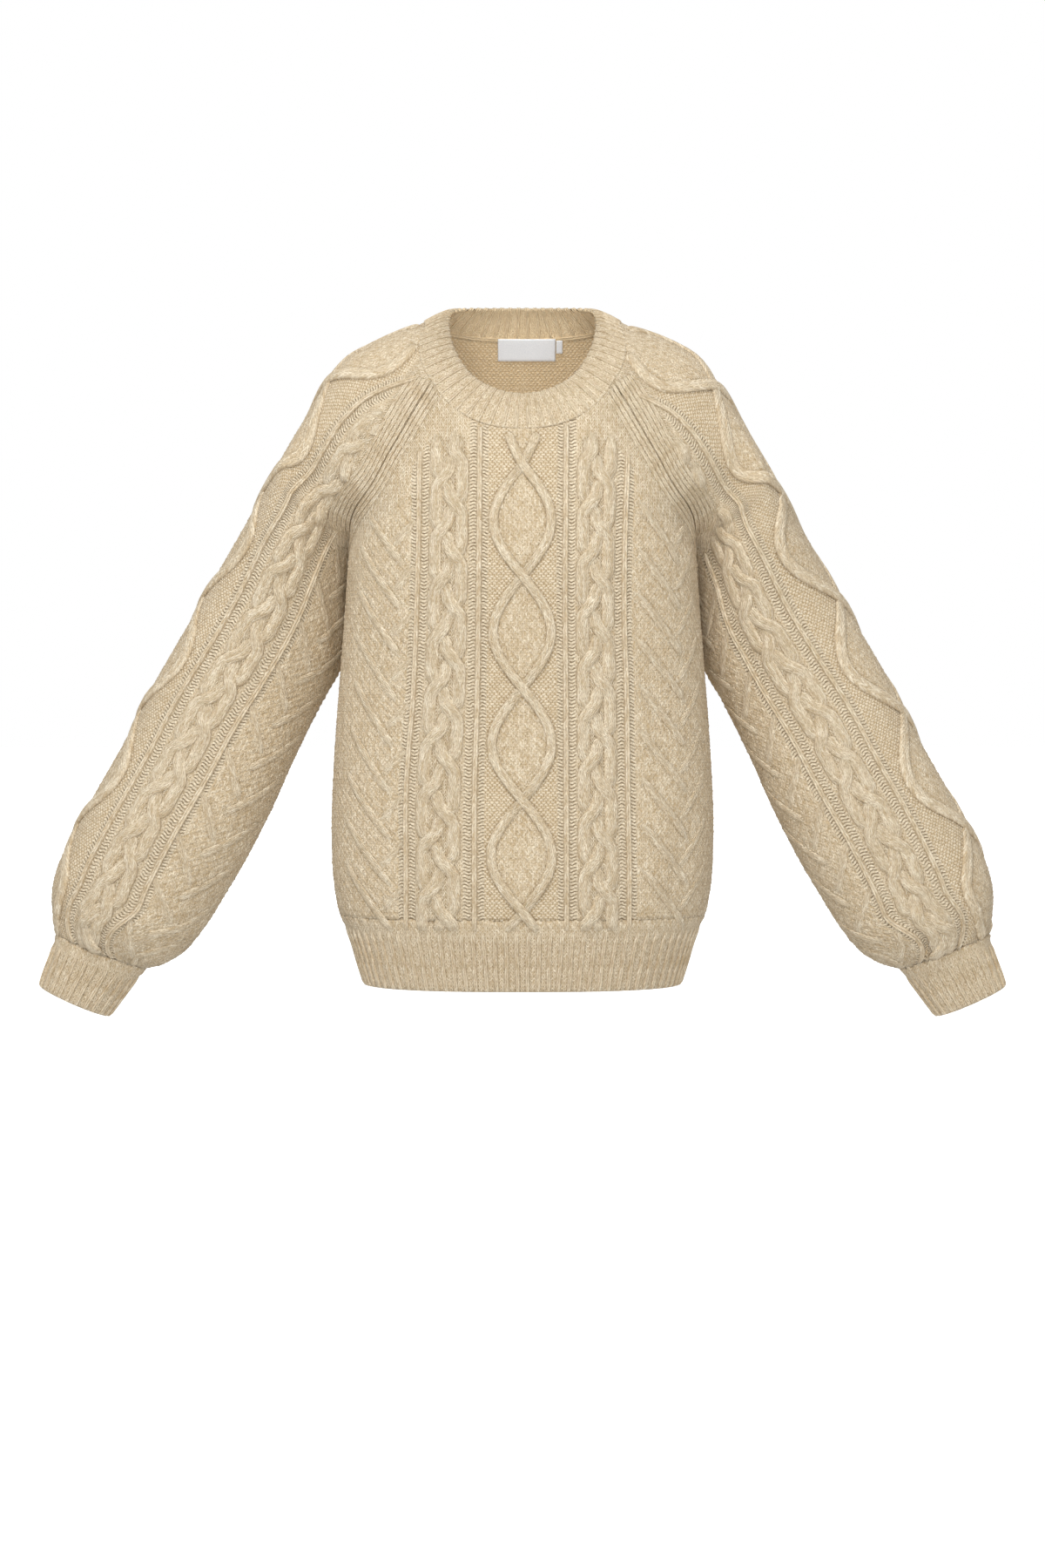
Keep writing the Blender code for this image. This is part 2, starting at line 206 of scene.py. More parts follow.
# The plaits of each piece: where they end at the latest, where they cross, and after how many
# crossings from there their strands run on straight.
PLAITS = {
    "front": (-84.0, -163.0 - 20 * PLAIT_REPEAT, 21.3),
    "back": (-38.0, -163.0 - 20 * PLAIT_REPEAT, 22.3),
    "sleeve": (FAR, 20.0 - PLAIT_REPEAT, FAR),
}
CHEVRON_FIRST = {"body": -528.0, "sleeve": 10.0}
CHEVRON_REPEAT = {"body": 42.0, "sleeve": 46.0}
CHEVRON_LAST = 10.0          # how far past the underarm the last one may start

# Soft creases: place across and along, direction in degrees from the wales, length, width and
# depth.
BODY_CREASES = (
    (-150.0, -300.0, 12.0, 120.0, 16.0, 1.6),
    (-118.0, -470.0, -8.0, 90.0, 14.0, 1.5),
    (40.0, -505.0, 10.0, 60.0, 15.0, 1.2),
    (128.0, -350.0, -10.0, 130.0, 18.0, 1.6),
    (150.0, -490.0, 14.0, 80.0, 13.0, 1.7),
    (-196.0, -235.0, 38.0, 60.0, 10.0, 2.2),
    (200.0, -240.0, -36.0, 55.0, 11.0, 2.0),
    (-20.0, -380.0, 3.0, 90.0, 20.0, 0.8),
)
SLEEVE_CREASES = (
    (-170.0, 395.0, 32.0, 70.0, 11.0, 2.6),
    (-150.0, 340.0, 24.0, 60.0, 12.0, 1.8),
    (170.0, 400.0, -30.0, 70.0, 11.0, 2.4),
    (120.0, 300.0, -14.0, 80.0, 14.0, 1.4),
    (-60.0, 150.0, 8.0, 90.0, 15.0, 1.2),
    (60.0, 210.0, -10.0, 90.0, 15.0, 1.2),
    (-120.0, 95.0, -14.0, 60.0, 12.0, 1.8),
    (20.0, 70.0, 12.0, 45.0, 12.0, 1.5),
)
GATHER_RISE = 8.0            # run over which the gathers deepen from the cuff up
GATHER_FALL = 42.0           # run over which they fade again
# Gathers where the sleeve is drawn into the cuff: place across, width and depth.
GATHERS = (
    (-168.0, 9.0, 2.8), (-137.0, 8.0, 3.4), (-109.0, 7.0, 2.4), (-84.0, 8.0, 3.6), (-52.0, 8.0, 2.2),
    (-21.0, 9.0, 2.6), (14.0, 8.0, 3.0), (43.0, 7.0, 2.2), (76.0, 9.0, 3.4), (104.0, 8.0, 2.4),
    (139.0, 9.0, 3.2), (171.0, 8.0, 2.4),
)


# -------------------------------- the form

def read(columns, name, at):
    """Smooth value of one column of a table."""
    keys = next(iter(columns.values()))
    values = columns[name]
    slopes = np.gradient(values, keys)
    at = np.clip(np.asarray(at, float), keys[0], keys[-1])
    cell = np.clip(np.searchsorted(keys, at, side="right") - 1, 0, len(keys) - 2)
    width = keys[cell + 1] - keys[cell]
    part = (at - keys[cell]) / width
    low = values[cell] * (1 + 2 * part) * (1 - part) ** 2
    high = values[cell + 1] * part ** 2 * (3 - 2 * part)
    bend = slopes[cell] * part * (1 - part) ** 2 - slopes[cell + 1] * part ** 2 * (1 - part)
    return low + high + width * bend


def read_point(columns, names, at):
    """Point whose x, y and z are three columns of a table."""
    return np.stack([read(columns, name, at) for name in names.split()], axis=-1)


def ease(value):
    """Smooth step from 0 to 1."""
    value = np.clip(value, 0.0, 1.0)
    return value * value * (3 - 2 * value)


def unit(vectors):
    """Vectors of length one."""
    return vectors / np.linalg.norm(vectors, axis=-1, keepdims=True)


def run_along(line):
    """Distance along a line of points, from its start to each of them."""
    steps = np.linalg.norm(np.diff(line, axis=0), axis=1)
    return np.concatenate([[0.0], np.cumsum(steps)])


def body_depth(y, height):
    """Depth of the body section before or behind its middle."""
    return np.where(y < 0, read(TORSO, "front", height), read(TORSO, "back", height))


def body_point(angle, height):
    """Point of the body's outer face, by degrees round from the front centre."""
    turn = np.radians(angle)
    across = np.sin(turn)
    ahead = np.cos(turn)
    power = 2 / ROUNDNESS
    x = read(TORSO, "half_width", height) * np.sign(across) * np.abs(across) ** power
    y = -body_depth(-ahead, height) * np.sign(ahead) * np.abs(ahead) ** power
    return np.stack([x, y, np.broadcast_to(height, np.shape(x)) * 1.0], axis=-1)


def curve_points(start, start_arm, end, end_arm, count):
    """Points on a cubic curve between two ends with the given arms."""
    at = np.linspace(0.0, 1.0, count)[:, None]
    rest = 1 - at
    middle = 3 * at * rest ** 2 * (start + start_arm) + 3 * at ** 2 * rest * (end + end_arm)
    return rest ** 3 * start + middle + at ** 3 * end


def clear_of_body(points):
    """Sleeve points below the underarm; the ones inside the body are moved out to its side."""
    x, y, height = points.T
    share = np.clip(np.abs(y) / body_depth(y, height), 0.0, 1.0)
    side = read(TORSO, "half_width", height) * (1 - share ** ROUNDNESS) ** (1 / ROUNDNESS)
    least = np.where(height <= UNDERARM, side + UNDERARM_GAP, 0.0)
    return np.stack([np.maximum(x, least), y, height], axis=1)


RING_SIDE = 25               # points from the underarm seam to the crest of a sleeve


def tube_ring(columns, station):
    """Closed ring of a sleeve, from the underarm round the front, the crest and the back."""
    inner = read_point(columns, "inner_x inner_y inner_z", station)
    crest = read_point(columns, "crest_x crest_y crest_z", station)
    outward = unit(crest - inner) * read(columns, "lean", station)
    depth = np.array([0.0, read(columns, "swell", station) * 4 / 3, 0.0])
    front = curve_points(inner, outward - depth, crest, -depth, RING_SIDE)
    back = curve_points(crest, depth, inner, outward + depth, RING_SIDE)
    return clear_of_body(np.concatenate([front, back[1:]]))


def seam_place(side, rise):
    """Angle and height of a point up a raglan seam, by its share of the seam's length."""
    fine = np.linspace(UNDERARM, NECKLINE[side]["ends"], 200)
    run = run_along(body_point(read(RAGLAN, side, fine), fine))
    height = np.interp(rise * run[-1], run, fine)
    return read(RAGLAN, side, height), height


CAP_CLIMB = {"front": 44.0, "back": 30.0}        # degrees the cap's rows climb from each seam


def seam_way(side, angle, height, rise):
    """Direction in which the cap leaves a raglan seam: out of the underarm fold low down, and
    level with the panel and slanting up further on."""
    sign = 1.0 if side == "front" else -1.0
    level = unit(body_point(angle + sign, height) - body_point(angle - sign, height))
    climb = unit(body_point(angle, height + 1.0) - body_point(angle, height - 1.0))
    slope = np.radians(CAP_CLIMB[side]) * ease(rise / 0.4)
    smooth = np.cos(slope) * level + np.sin(slope) * climb
    fold = unit(np.array([0.6 + rise, -sign * (0.8 - 1.8 * rise), rise]))
    return unit(smooth + (fold - smooth) * read(CAP, "fold", rise))


def crest_point(rise):
    """Point on the crest, by its share of the way from the underarm row to the collar."""
    line = read_point(CREST, "x y z", np.linspace(0, CREST["station"][-1], 300))
    run = run_along(line)
    return np.array([np.interp(rise * run[-1], run, line[:, axis]) for axis in range(3)])


def cap_row(rise):
    """Open row of the cap, from the front raglan seam over the crest to the back one."""
    crest = crest_point(rise)
    tilt = np.radians(read(CAP, "tilt", rise))
    over = np.array([0.0, np.cos(tilt), np.sin(tilt)]) * read(CAP, "crest_arm", rise)
    halves = []
    for side, crest_arm in (("front", -over), ("back", over)):
        angle, height = seam_place(side, rise)
        arm = seam_way(side, angle, height, rise) * read(CAP, "seam_arm", rise)
        halves.append(curve_points(body_point(angle, height), arm, crest, crest_arm, RING_SIDE))
    return np.concatenate([halves[0], halves[1][-2::-1]])


# -------------------------------- surfaces laid out flat

def spread(at, keys, values):
    """Straight-line reading of values at rising keys, run on beyond both ends."""
    cell = np.clip(np.searchsorted(keys, at) - 1, 0, len(keys) - 2)
    part = (at - keys[cell]) / (keys[cell + 1] - keys[cell])
    part = part.reshape(part.shape + (1,) * (values.ndim - 1))
    return values[cell] * (1 - part) + values[cell + 1] * part


def between(grid, row, column):
    """Values of a grid at places between its rows and columns."""
    row = np.clip(row, 0, grid.shape[0] - 1.001)
    column = np.clip(column, 0, grid.shape[1] - 1.001)
    low, left = row.astype(int), column.astype(int)
    up, right = row - low, column - left
    if grid.ndim > 2:
        up, right = up[..., None], right[..., None]
    lower = grid[low, left] * (1 - right) + grid[low, left + 1] * right
    upper = grid[low + 1, left] * (1 - right) + grid[low + 1, left + 1] * right
    return lower * (1 - up) + upper * up


class Sheet:
    """A knitted surface: points and normals by the distance across it and along it."""

    STEP = 2.0

    def __init__(self, rows, across, along):
        self.across = np.arange(np.min(across), np.max(across) + self.STEP, self.STEP)
        self.along = np.arange(along[0], along[-1] + self.STEP, self.STEP)
        even = np.array([spread(self.across, keys, row) for keys, row in zip(across, rows)])
        self.points = spread(self.along, np.asarray(along, float), even)
        self.normals = unit(np.cross(np.gradient(self.points, axis=1), np.gradient(self.points, axis=0)))

    def at(self, across, along, lift):
        """Points a little above the surface, and the surface's normals there."""
        row = (np.asarray(along, float) - self.along[0]) / self.STEP
        column = (np.asarray(across, float) - self.across[0]) / self.STEP
        normal = unit(between(self.normals, row, column))
        return between(self.points, row, column) + normal * np.asarray(lift)[..., None], normal


# -------------------------------- the plans of the pieces

class Plan:
    """One knitted piece laid out flat: its surface, its rows and where its edges run."""

    def __init__(self, sheet, rows, joined, inner, creases=(), gathers=()):
        self.sheet = sheet
        self.rows = rows
        self.joined = joined
        self.inner = inner
        self.creases = creases
        self.gathers = gathers
        self.heights = np.array([along[[0, -1]].mean() for _, along in rows])
        self.low = np.array([across[0] for across, _ in rows])
        self.high = np.array([across[-1] for across, _ in rows])
        self.seam_from = self.heights[joined - 1] if joined else UNDERARM

    def crease(self, across, along):
        """How far the soft creases and gathers lift the cloth."""
        lift = np.zeros(np.broadcast(across, along).shape)
        for place, height, lean, length, width, depth in self.creases:
            turn = np.radians(lean)
            run = (across - place) * np.sin(turn) + (along - height) * np.cos(turn)
            off = (across - place) * np.cos(turn) - (along - height) * np.sin(turn)
            lift -= depth * np.exp(-(2 * run / length) ** 2 - (off / width) ** 2)
        for place, width, depth in self.gathers:
            drawn = ease(along / GATHER_RISE) * (1 - ease((along - GATHER_RISE) / GATHER_FALL))
            lift -= depth * np.exp(-((across - place) / width) ** 2) * drawn
        return lift

    def inner_level(self, crease):
        """Level of the inner face, where half of each crease shows."""
        return self.inner + 0.5 * crease

    def edges(self, along):
        """Left and right edges at a distance along the piece."""
        return np.interp(along, self.heights, self.low), np.interp(along, self.heights, self.high)

    def round(self, along):
        """Width of the cloth at a distance along."""
        low, high = self.edges(along)
        return high - low

    def laps(self, across, along):
        """How many whole turns round a closed tube a place is past its edge."""
        closed = along < self.seam_from if self.joined else np.zeros(np.shape(along), bool)
        return np.where(closed, np.floor((across - self.edges(along)[0]) / self.round(along)), 0.0)

    def side_distance(self, across, along):
        """How far inside the side seams a place is; a closed tube has none."""
        low, high = self.edges(along)
        lean = np.hypot(1.0, np.interp(along, self.heights, np.gradient(self.high, self.heights)))
        side = np.minimum(across - low, high - across) / lean
        return np.where(along < self.seam_from, FAR, side) if self.joined else side

    def edge_distance(self, across, along):
        """How far inside the sewn edges a place is, the upper one too."""
        top_across, top_along = self.rows[-1]
        top = np.interp(across, top_across, top_along) - along
        return np.minimum(self.side_distance(across, along), top)

    def area(self):
        """Flat area of the cut."""
        top_across, top_along = self.rows[-1]
        sides = np.trapz(self.high - self.low, self.heights)
        return sides - np.trapz(self.heights[-1] - top_along, top_across)


def even_rows(start, end, pitch=ROW):
    """Places of the rows from one end of a piece to the other."""
    return np.linspace(start, end, int((end - start) / pitch) + 1)


def straight_row(low, high, place):
    """A row straight across, by its two ends and its place along."""
    return np.array([low, high]), np.array([place, place])


ANGLE_STEP = 0.5
HEIGHT_STEP = 3.0
WIDEST_ANGLE = 112.0         # from a panel's middle to past its sides
BENT_POINTS = 81             # points of a bent row below the neckline


class BodyForm:
    """The body's surface round one panel, and the distance across it of any place."""

    def __init__(self, side):
        self.side = side
        self.centre = NECKLINE[side]["centre"]
        self.turns = np.arange(-WIDEST_ANGLE, WIDEST_ANGLE + ANGLE_STEP, ANGLE_STEP)
        self.heights = np.arange(TORSO["height"][0], TORSO["height"][-1] + HEIGHT_STEP, HEIGHT_STEP)
        rows = np.array([body_point(self.centre + self.turns, height) for height in self.heights])
        runs = np.array([run_along(row) for row in rows])
        self.runs = runs - runs[:, [len(self.turns) // 2]]
        self.sheet = Sheet(rows, self.runs, self.heights)

    def across(self, turn, height):
        """Distance across from the panel's middle."""
        row = (np.asarray(height, float) - self.heights[0]) / HEIGHT_STEP
        column = (np.asarray(turn, float) + WIDEST_ANGLE) / ANGLE_STEP
        return between(self.runs, *np.broadcast_arrays(row, column))

    def reach(self, height):
        """Distance from the panel's middle to its sewn edge."""
        angle = np.where(height > UNDERARM, read(RAGLAN, self.side, height), SIDE_SEAM)
        turn = np.where(height > UNDERARM, np.abs(self.centre - angle), abs(self.centre - SIDE_SEAM))
        return self.across(turn, height) - SEAM / 2


def band_rows(form, bottom, top):
    """Straight rows of the body between two heights."""
    return [straight_row(-form.reach(height), form.reach(height), height)
            for height in even_rows(bottom, top)]


def body_plan(form):
    """Front or back panel, in straight rows up to the underarm and bent ones up to the neck."""
    neck = NECKLINE[form.side]
    rows = band_rows(form, HEM_TOP + SEAM / 2, UNDERARM)
    share = np.linspace(-1.0, 1.0, BENT_POINTS)
    for height in even_rows(UNDERARM, neck["ends"])[1:]:
        rise = (height - UNDERARM) / (neck["ends"] - UNDERARM)
        along = height - rise * neck["dip"] * (1 - np.abs(share) ** neck["power"])
        turn = np.abs(neck["centre"] - read(RAGLAN, form.side, height))
        across = form.across(share * turn, along)
        rows.append((across * (1 - SEAM / 2 / across[-1]), along))
    return Plan(form.sheet, rows, 0, INNER, BODY_CREASES)


def band_plan(form, bottom, top, inner):
    """Straight band of the body, such as the hem rib."""
    return Plan(form.sheet, band_rows(form, bottom, top), 0, inner)


GATHERED = (0.5, 70.0)       # how much more cloth the sleeve has at the cuff, and up to where


def gathered(along):
    """How much wider the sleeve is knitted than it is worn, where the cuff draws it in."""
    return 1 + GATHERED[0] * (1 - ease(along / GATHERED[1]))


RINGS_EACH = 8               # rings of a tube for each row of its table
CAP_FADE = (0.25, 0.4)       # share of the cap in which the tube's shape fades, at its seams, and
                             # how much more of it at the crest
CUFF_INTO_SLEEVE = 1.5       # how far a cuff runs on into the sleeve


def tube_plan(columns, top_rises, inner, fullness):
    """A sleeve or a cuff, from its lower edge to its underarm, and on over the cap, whose first
    rows run over from the last ring of the tube."""
    stations = np.linspace(0, columns["station"][-1], RINGS_EACH * len(columns["station"]))
    rows = [tube_ring(columns, station) for station in stations]
    step = rows[-1] - cap_row(0.0)
    fade = CAP_FADE[0] + CAP_FADE[1] * np.sin(np.pi * np.linspace(0.0, 1.0, len(step)))[:, None]
    rows += [cap_row(rise) + step * (1 - ease(rise / fade)) for rise in top_rises]
    if not top_rises:
        rows.append(rows[-1] + unit(rows[-1] - rows[-2]) * CUFF_INTO_SLEEVE)
        stations = np.append(stations, stations[-1])
    along = [0.0]
    middle = RING_SIDE - 1
    for number in range(1, len(rows)):
        crest_step = np.linalg.norm(rows[number][middle] - rows[number - 1][middle])
        inner_step = np.linalg.norm(rows[number][0] - rows[number - 1][0])
        if number >= len(stations):
            inner_step = crest_step
        along.append(along[-1] + (crest_step + inner_step) / 2)
    along = np.array(along)
    across = []
    for row, place in zip(rows, along):
        run = run_along(row)
        across.append((run - run[middle]) * (gathered(place) if fullness else 1.0))
    sheet = Sheet(rows, across, along)
    joint = along[len(stations) - 1]
    places = list(even_rows(0.0, joint))
    joined = len(places)
    if top_rises:
        places += list(even_rows(joint, along[-1])[1:])
    inset = np.where(np.array(places) > joint + 0.1, SEAM / 2, 0.0)
    low = np.interp(places, along, [line[0] for line in across]) + inset
    high = np.interp(places, along, [line[-1] for line in across]) - inset
    folds = (SLEEVE_CREASES, GATHERS) if fullness else ((), ())
    return Plan(sheet, list(map(straight_row, low, high, places)), joined, inner, *folds)


# -------------------------------- meshes

def zipper(first, first_at, second, second_at, faces):
    """Triangles between two lines of vertices, by their places along the lines."""
    a, b = 0, 0
    last_a, last_b = len(first) - 1, len(second) - 1
    while a < last_a or b < last_b:
        if b == last_b or (a < last_a and first_at[a + 1] <= second_at[b + 1]):
            faces.append((first[a], first[a + 1], second[b]))
            a += 1
        else:
            faces.append((first[a], second[b + 1], second[b]))
            b += 1


def row_places(across, along, step):
    """Places on one row at whole steps across, with its two ends."""
    margin = step * 0.3
    inside = np.arange(np.ceil((across[0] + margin) / step), np.floor((across[-1] - margin) / step) + 1)
    places = np.concatenate([across[:1], inside * step, across[-1:]])
    return places, np.interp(places, across, along)


class Shell:
    """Vertices and faces of a closed knitted wall, with its stitch coordinates."""

    def __init__(self):
        self.across, self.along, self.weld, self.faces = [], [], [], []
        self.count = 0

    def add_rows(self, rows, joined, step):
        """Vertices of several rows; returns each row's indices and places."""
        lines = []
        for number, (across, along) in enumerate(rows):
            places, heights = row_places(across, along, step)
            index = np.arange(self.count, self.count + len(places))
            weld = index.copy()
            if number < joined:
                weld[-1] = index[0]
            self.across.append(places)
            self.along.append(heights)
            self.weld.append(weld)
            self.count += len(places)
            lines.append((index.tolist(), places.tolist(), heights.tolist()))
        return lines

    def close(self, outer, inner, joined, outer_joined_row, inner_joined_row):
        """Faces of the outer rows, the inner rows and the edges between them."""
        for lower, upper in zip(outer, outer[1:]):
            zipper(lower[0], lower[1], upper[0], upper[1], self.faces)
        turned = []
        for lower, upper in zip(inner, inner[1:]):
            zipper(lower[0], lower[1], upper[0], upper[1], turned)
        self.faces += [(a, c, b) for a, b, c in turned]
        self.rim_from = len(self.faces)
        zipper(inner[0][0], inner[0][1], outer[0][0], outer[0][1], self.faces)
        zipper(outer[-1][0], outer[-1][1], inner[-1][0], inner[-1][1], self.faces)
        if joined == len(outer):
            return
        sides = []
        for lines, start in ((outer, outer_joined_row), (inner, inner_joined_row)):
            left = [line[0][0] for line in lines[start:]]
            right = [line[0][-1] for line in lines[start:]]
            heights = [line[2][0] for line in lines[start:]]
            sides.append((left, right, heights))
        (out_left, out_right, out_at), (in_left, in_right, in_at) = sides
        zipper(out_left, out_at, in_left, in_at, self.faces)
        zipper(in_right, in_at, out_right, out_at, self.faces)


INNER_ROWS = 3               # rows of the outer face for each row of vertices of the inner one
INNER_STITCHES = 2           # stitches across for each of its columns


def ground_shell(plan):
    """Closed wall of a plan, with half-stitch columns outside and wide ones inside."""
    shell = Shell()
    outer = shell.add_rows(plan.rows, plan.joined, STITCH / 2)
    split = shell.count
    last = len(plan.rows) - 1
    keep = set(range(0, last, INNER_ROWS)) | {0, last}
    keep = sorted(keep | ({plan.joined - 1} if plan.joined else set()))
    inner_rows = [plan.rows[number] for number in keep]
    inner_joined = sum(number < plan.joined for number in keep)
    inner = shell.add_rows(inner_rows, inner_joined, STITCH * INNER_STITCHES)
    start = plan.joined - 1 if plan.joined else 0
    inner_start = keep.index(start)
    shell.close(outer, inner, plan.joined, start, inner_start)
    return shell, split


def put_in_scene(name, data):
    """New object of the scene."""
    thing = bpy.data.objects.new(name, data)
    bpy.context.scene.collection.objects.link(thing)
    return thing


def set_values(mesh, name, values, kind="FLOAT", field="value"):
    """A named value at each vertex."""
    values = values.astype(np.float32).reshape(-1)
    mesh.attributes.new(name, kind, "POINT").data.foreach_set(field, values)


def make_mesh(name, points, faces, uvs, features, hand, rim_from):
    """Mesh object in metres; hand -1 makes the wearer's right one, and the rims are flat."""
    points = points * np.array([hand, 1.0, 1.0]) * MM
    mesh = bpy.data.meshes.new(name)
    if hand < 0:
        faces = faces[:, ::-1]
        uvs = uvs[:, ::-1]
    mesh.from_pydata(points.tolist(), [], faces.tolist())
    layer = mesh.uv_layers.new(name="stitches")
    layer.data.foreach_set("uv", uvs.reshape(-1).astype(np.float32))
    for key, values in features.items():
        set_values(mesh, key, values)
    mesh.polygons.foreach_set("use_smooth", np.arange(len(mesh.polygons)) < rim_from)
    mesh.update()
    return put_in_scene(name, mesh)


def make_ground(name, plan, pattern, wales, hand=1.0):
    """The knitted wall of one piece, raised and lowered by its pattern."""
    shell, split = ground_shell(plan)
    across = np.concatenate(shell.across)
    along = np.concatenate(shell.along)
    weld = np.concatenate(shell.weld)
    outside = np.arange(shell.count) < split
    lift, features = pattern(plan, across, along)
    # painted shade on the ground beside the raised strands
    features["shade"] = wales.shade(across, along) * outside
    lift = np.where(outside, GROUND + lift, plan.inner_level(features["crease"]))
    points, _ = plan.sheet.at(across, along, lift)
    faces = np.array(shell.faces)
    uvs = np.stack([across / STITCH, along / ROW], axis=1)[faces]
    used, index = np.unique(weld, return_inverse=True)
    features = {key: values[used] for key, values in features.items()}
    features["inside"] = 1.0 - outside[used]
    # the whole inner face gets painted warm bounce light and shade
    features["warm"] = np.maximum(features.get("warm", 0.0), features["inside"])
    return make_mesh(name, points[used], index[faces], uvs, features, hand, shell.rim_from)


# -------------------------------- stitch patterns of the ground

CROSSING = {"body": -115.0}  # where the ropes cross; the sleeve's is worked out from its plan
DIAMOND_REPEAT = {"body": 102.0, "sleeve": 122.0}
LAST_DIAMOND = 0.62          # reach of the body's last diamond against the others
ROPE_SIZE = {"body": 1.0, "sleeve": 1.35}
PLAIT_HALF = 18.0            # half the width of the ground under a plait
GUTTER = {"body": 5.0, "sleeve": 6.2}            # reach of the purl ladders beside the plaits
OUTER_GUTTER = (5.2, 3.8)    # the ladders beyond the ridges: how far out, and their reach
YOKE_BAND = 32.0             # plain knitting beside the raglan seams
BLEND = 3.0                  # width over which one kind of stitch gives way to the next
# How far round the pattern of each sleeve has turned, towards the front, along the sleeve.
TURNED = table(
    "along left right",
    (0, -22, 0),
    (320, -21, 0),
    (430, -28, -6),
    (520, -38, -21),
    (600, -39, -22),
    (650, -40, -24),
    (705, -41, -29),
)
# How far out the outer ridges of the front lie beyond their place, on the wearer's sides.
SPREAD = table(
    "height left right",
    (-492, 5, 14.8),
    (-410, 3.5, 14.2),
    (-328, 2.7, 7.8),
    (-246, 0.5, 4.4),
    (-164, 2, 2.4),
    (-82, 5, 1),
)
GROWN = 9.0                  # depth over which the ribs of a band start
draw = np.random.default_rng(7)


def hump(value):
    """Soft bump: 1 at 0, and 0 from 1 outwards."""
    return ease(1 - np.abs(value))


def rope_reach(kind, along):
    """How far the two ropes lie from the middle wale; they cross where it is 0."""
    reach = np.full(np.shape(along), PLANS[kind]["diamond"])
    if kind == "body":
        reach = np.where(along > CROSSING[kind], LAST_DIAMOND * reach, reach)
    return reach * np.sin(np.pi * (along - CROSSING[kind]) / DIAMOND_REPEAT[kind])


def moved_out(across, along):
    """How far the pattern of the front lies out from its place."""
    share = np.minimum(np.abs(across) / PLANS["body"]["ridges"][1], 1.0) ** 1.4
    out = np.where(across > 0, read(SPREAD, "left", along), read(SPREAD, "right", along))
    return np.sign(across) * share * out


def turning(side):
    """How far round the pattern of a sleeve has turned, as a function of the place."""
    def turn(_across, along):
        return read(TURNED, side, along)

    return turn


def cable_pattern(kind, turn):
    """Lift and stitch kinds of a cabled ground; turn is how far the pattern lies from its place,
    at distances across and along."""
    ridge_in, ridge_out = PLANS[kind]["ridges"]
    plait = PLANS[kind]["plait"]
    wide = GUTTER[kind]
    beyond, narrow = OUTER_GUTTER
    gutters = ((ridge_in - beyond, narrow), (ridge_in + wide + 0.8, wide),
               (ridge_out - wide - 0.8, wide), (ridge_out + beyond, narrow))

    def pattern(plan, across, along):
        edge = plan.edge_distance(across, along)
        yoke_side = plan.side_distance(across, along)
        placed = across
        if turn:
            across = across - turn(across, along)
        side = np.abs(across)
        yoke = ease((YOKE_BAND - yoke_side) / 8.0)
        yoke = yoke * ease((along - plan.seam_from + 12.0) / 20.0)
        if kind == "body":
            yoke = np.where(side < ridge_in, 0.0, yoke)
        in_diamond = ease((np.abs(rope_reach(kind, along)) - side - 2.0) / BLEND)
        moss = np.maximum(in_diamond * (side < ridge_in), ease((side - ridge_out - BLEND) / BLEND))
        knit = hump((side - plait) / (PLAIT_HALF + BLEND)) ** 0.25
        knit = np.maximum(knit * (side < ridge_out) * (side > ridge_in), yoke)
        moss = moss * (1 - knit)
        purl = np.clip(1 - moss - knit, 0.0, 1.0)
        gutter = np.max([hump((side - place) / half) for place, half in gutters], axis=0) * (1 - yoke)
        crease = plan.crease(placed, along)
        wale = 1 - 4 * np.abs((across / STITCH) % 1.0 - 0.5)
        grain = draw.normal(size=np.shape(across))
        seed = np.where((np.floor(across / STITCH) + np.round(along / ROW)) % 2 > 0.5, 1.0, -0.6)
        seed = np.where(wale > 0, seed, -0.3) + 0.35 * grain
        lift = crease - 0.7 * gutter - 0.9 * np.exp(-edge / 2.0)
        lift += 0.9 * hump((side - plait) / (PLAIT_HALF - 1.0)) ** 0.5 * (1 - yoke)
        lift += moss * (0.45 + 0.55 * seed) + purl * 0.2 * grain + knit * (0.4 * wale + 0.2 + 0.12 * grain)
        features = {"moss": moss, "purl": purl, "gutter": gutter, "crease": crease, "seed": seed * moss}
        return lift, features

    return pattern


def rib_pattern(plan, across, along):
    """Recessed purl ground between the ribs."""
    crease = plan.crease(across, along)
    grain = draw.normal(size=np.shape(across))
    nothing = np.zeros(np.shape(across))
    lift = crease - 0.3 + 0.12 * grain
    features = {"moss": nothing, "purl": nothing + 0.3, "gutter": nothing + 0.2, "crease": crease}
    return lift, {**features, "seed": nothing}


def collar_pattern(plan, across, along):
    """The same for the neck rib, with painted warm bounce light and shade past its fold."""
    lift, features = rib_pattern(plan, across, along)
    return lift, {**features, "warm": ease((along - plan.heights[-1] / 2) / 4.0)}


def band_pattern(plan, across, along):
    """The same for a band whose ribs grow out of a patterned piece above it."""
    lift, features = rib_pattern(plan, across, along)
    grown = ease((along - plan.heights[-1] + GROWN) / 4.0 + 0.5 * (draw.random(np.shape(across)) - 0.5))
    seed = draw.normal(size=np.shape(across))
    lift += grown * (0.4 + 0.45 * seed)
    return lift, {**features, "moss": grown, "purl": 0.3 * (1 - grown), "gutter": 0.2 * (1 - grown),
                  "seed": grown * seed}


# -------------------------------- raised wales

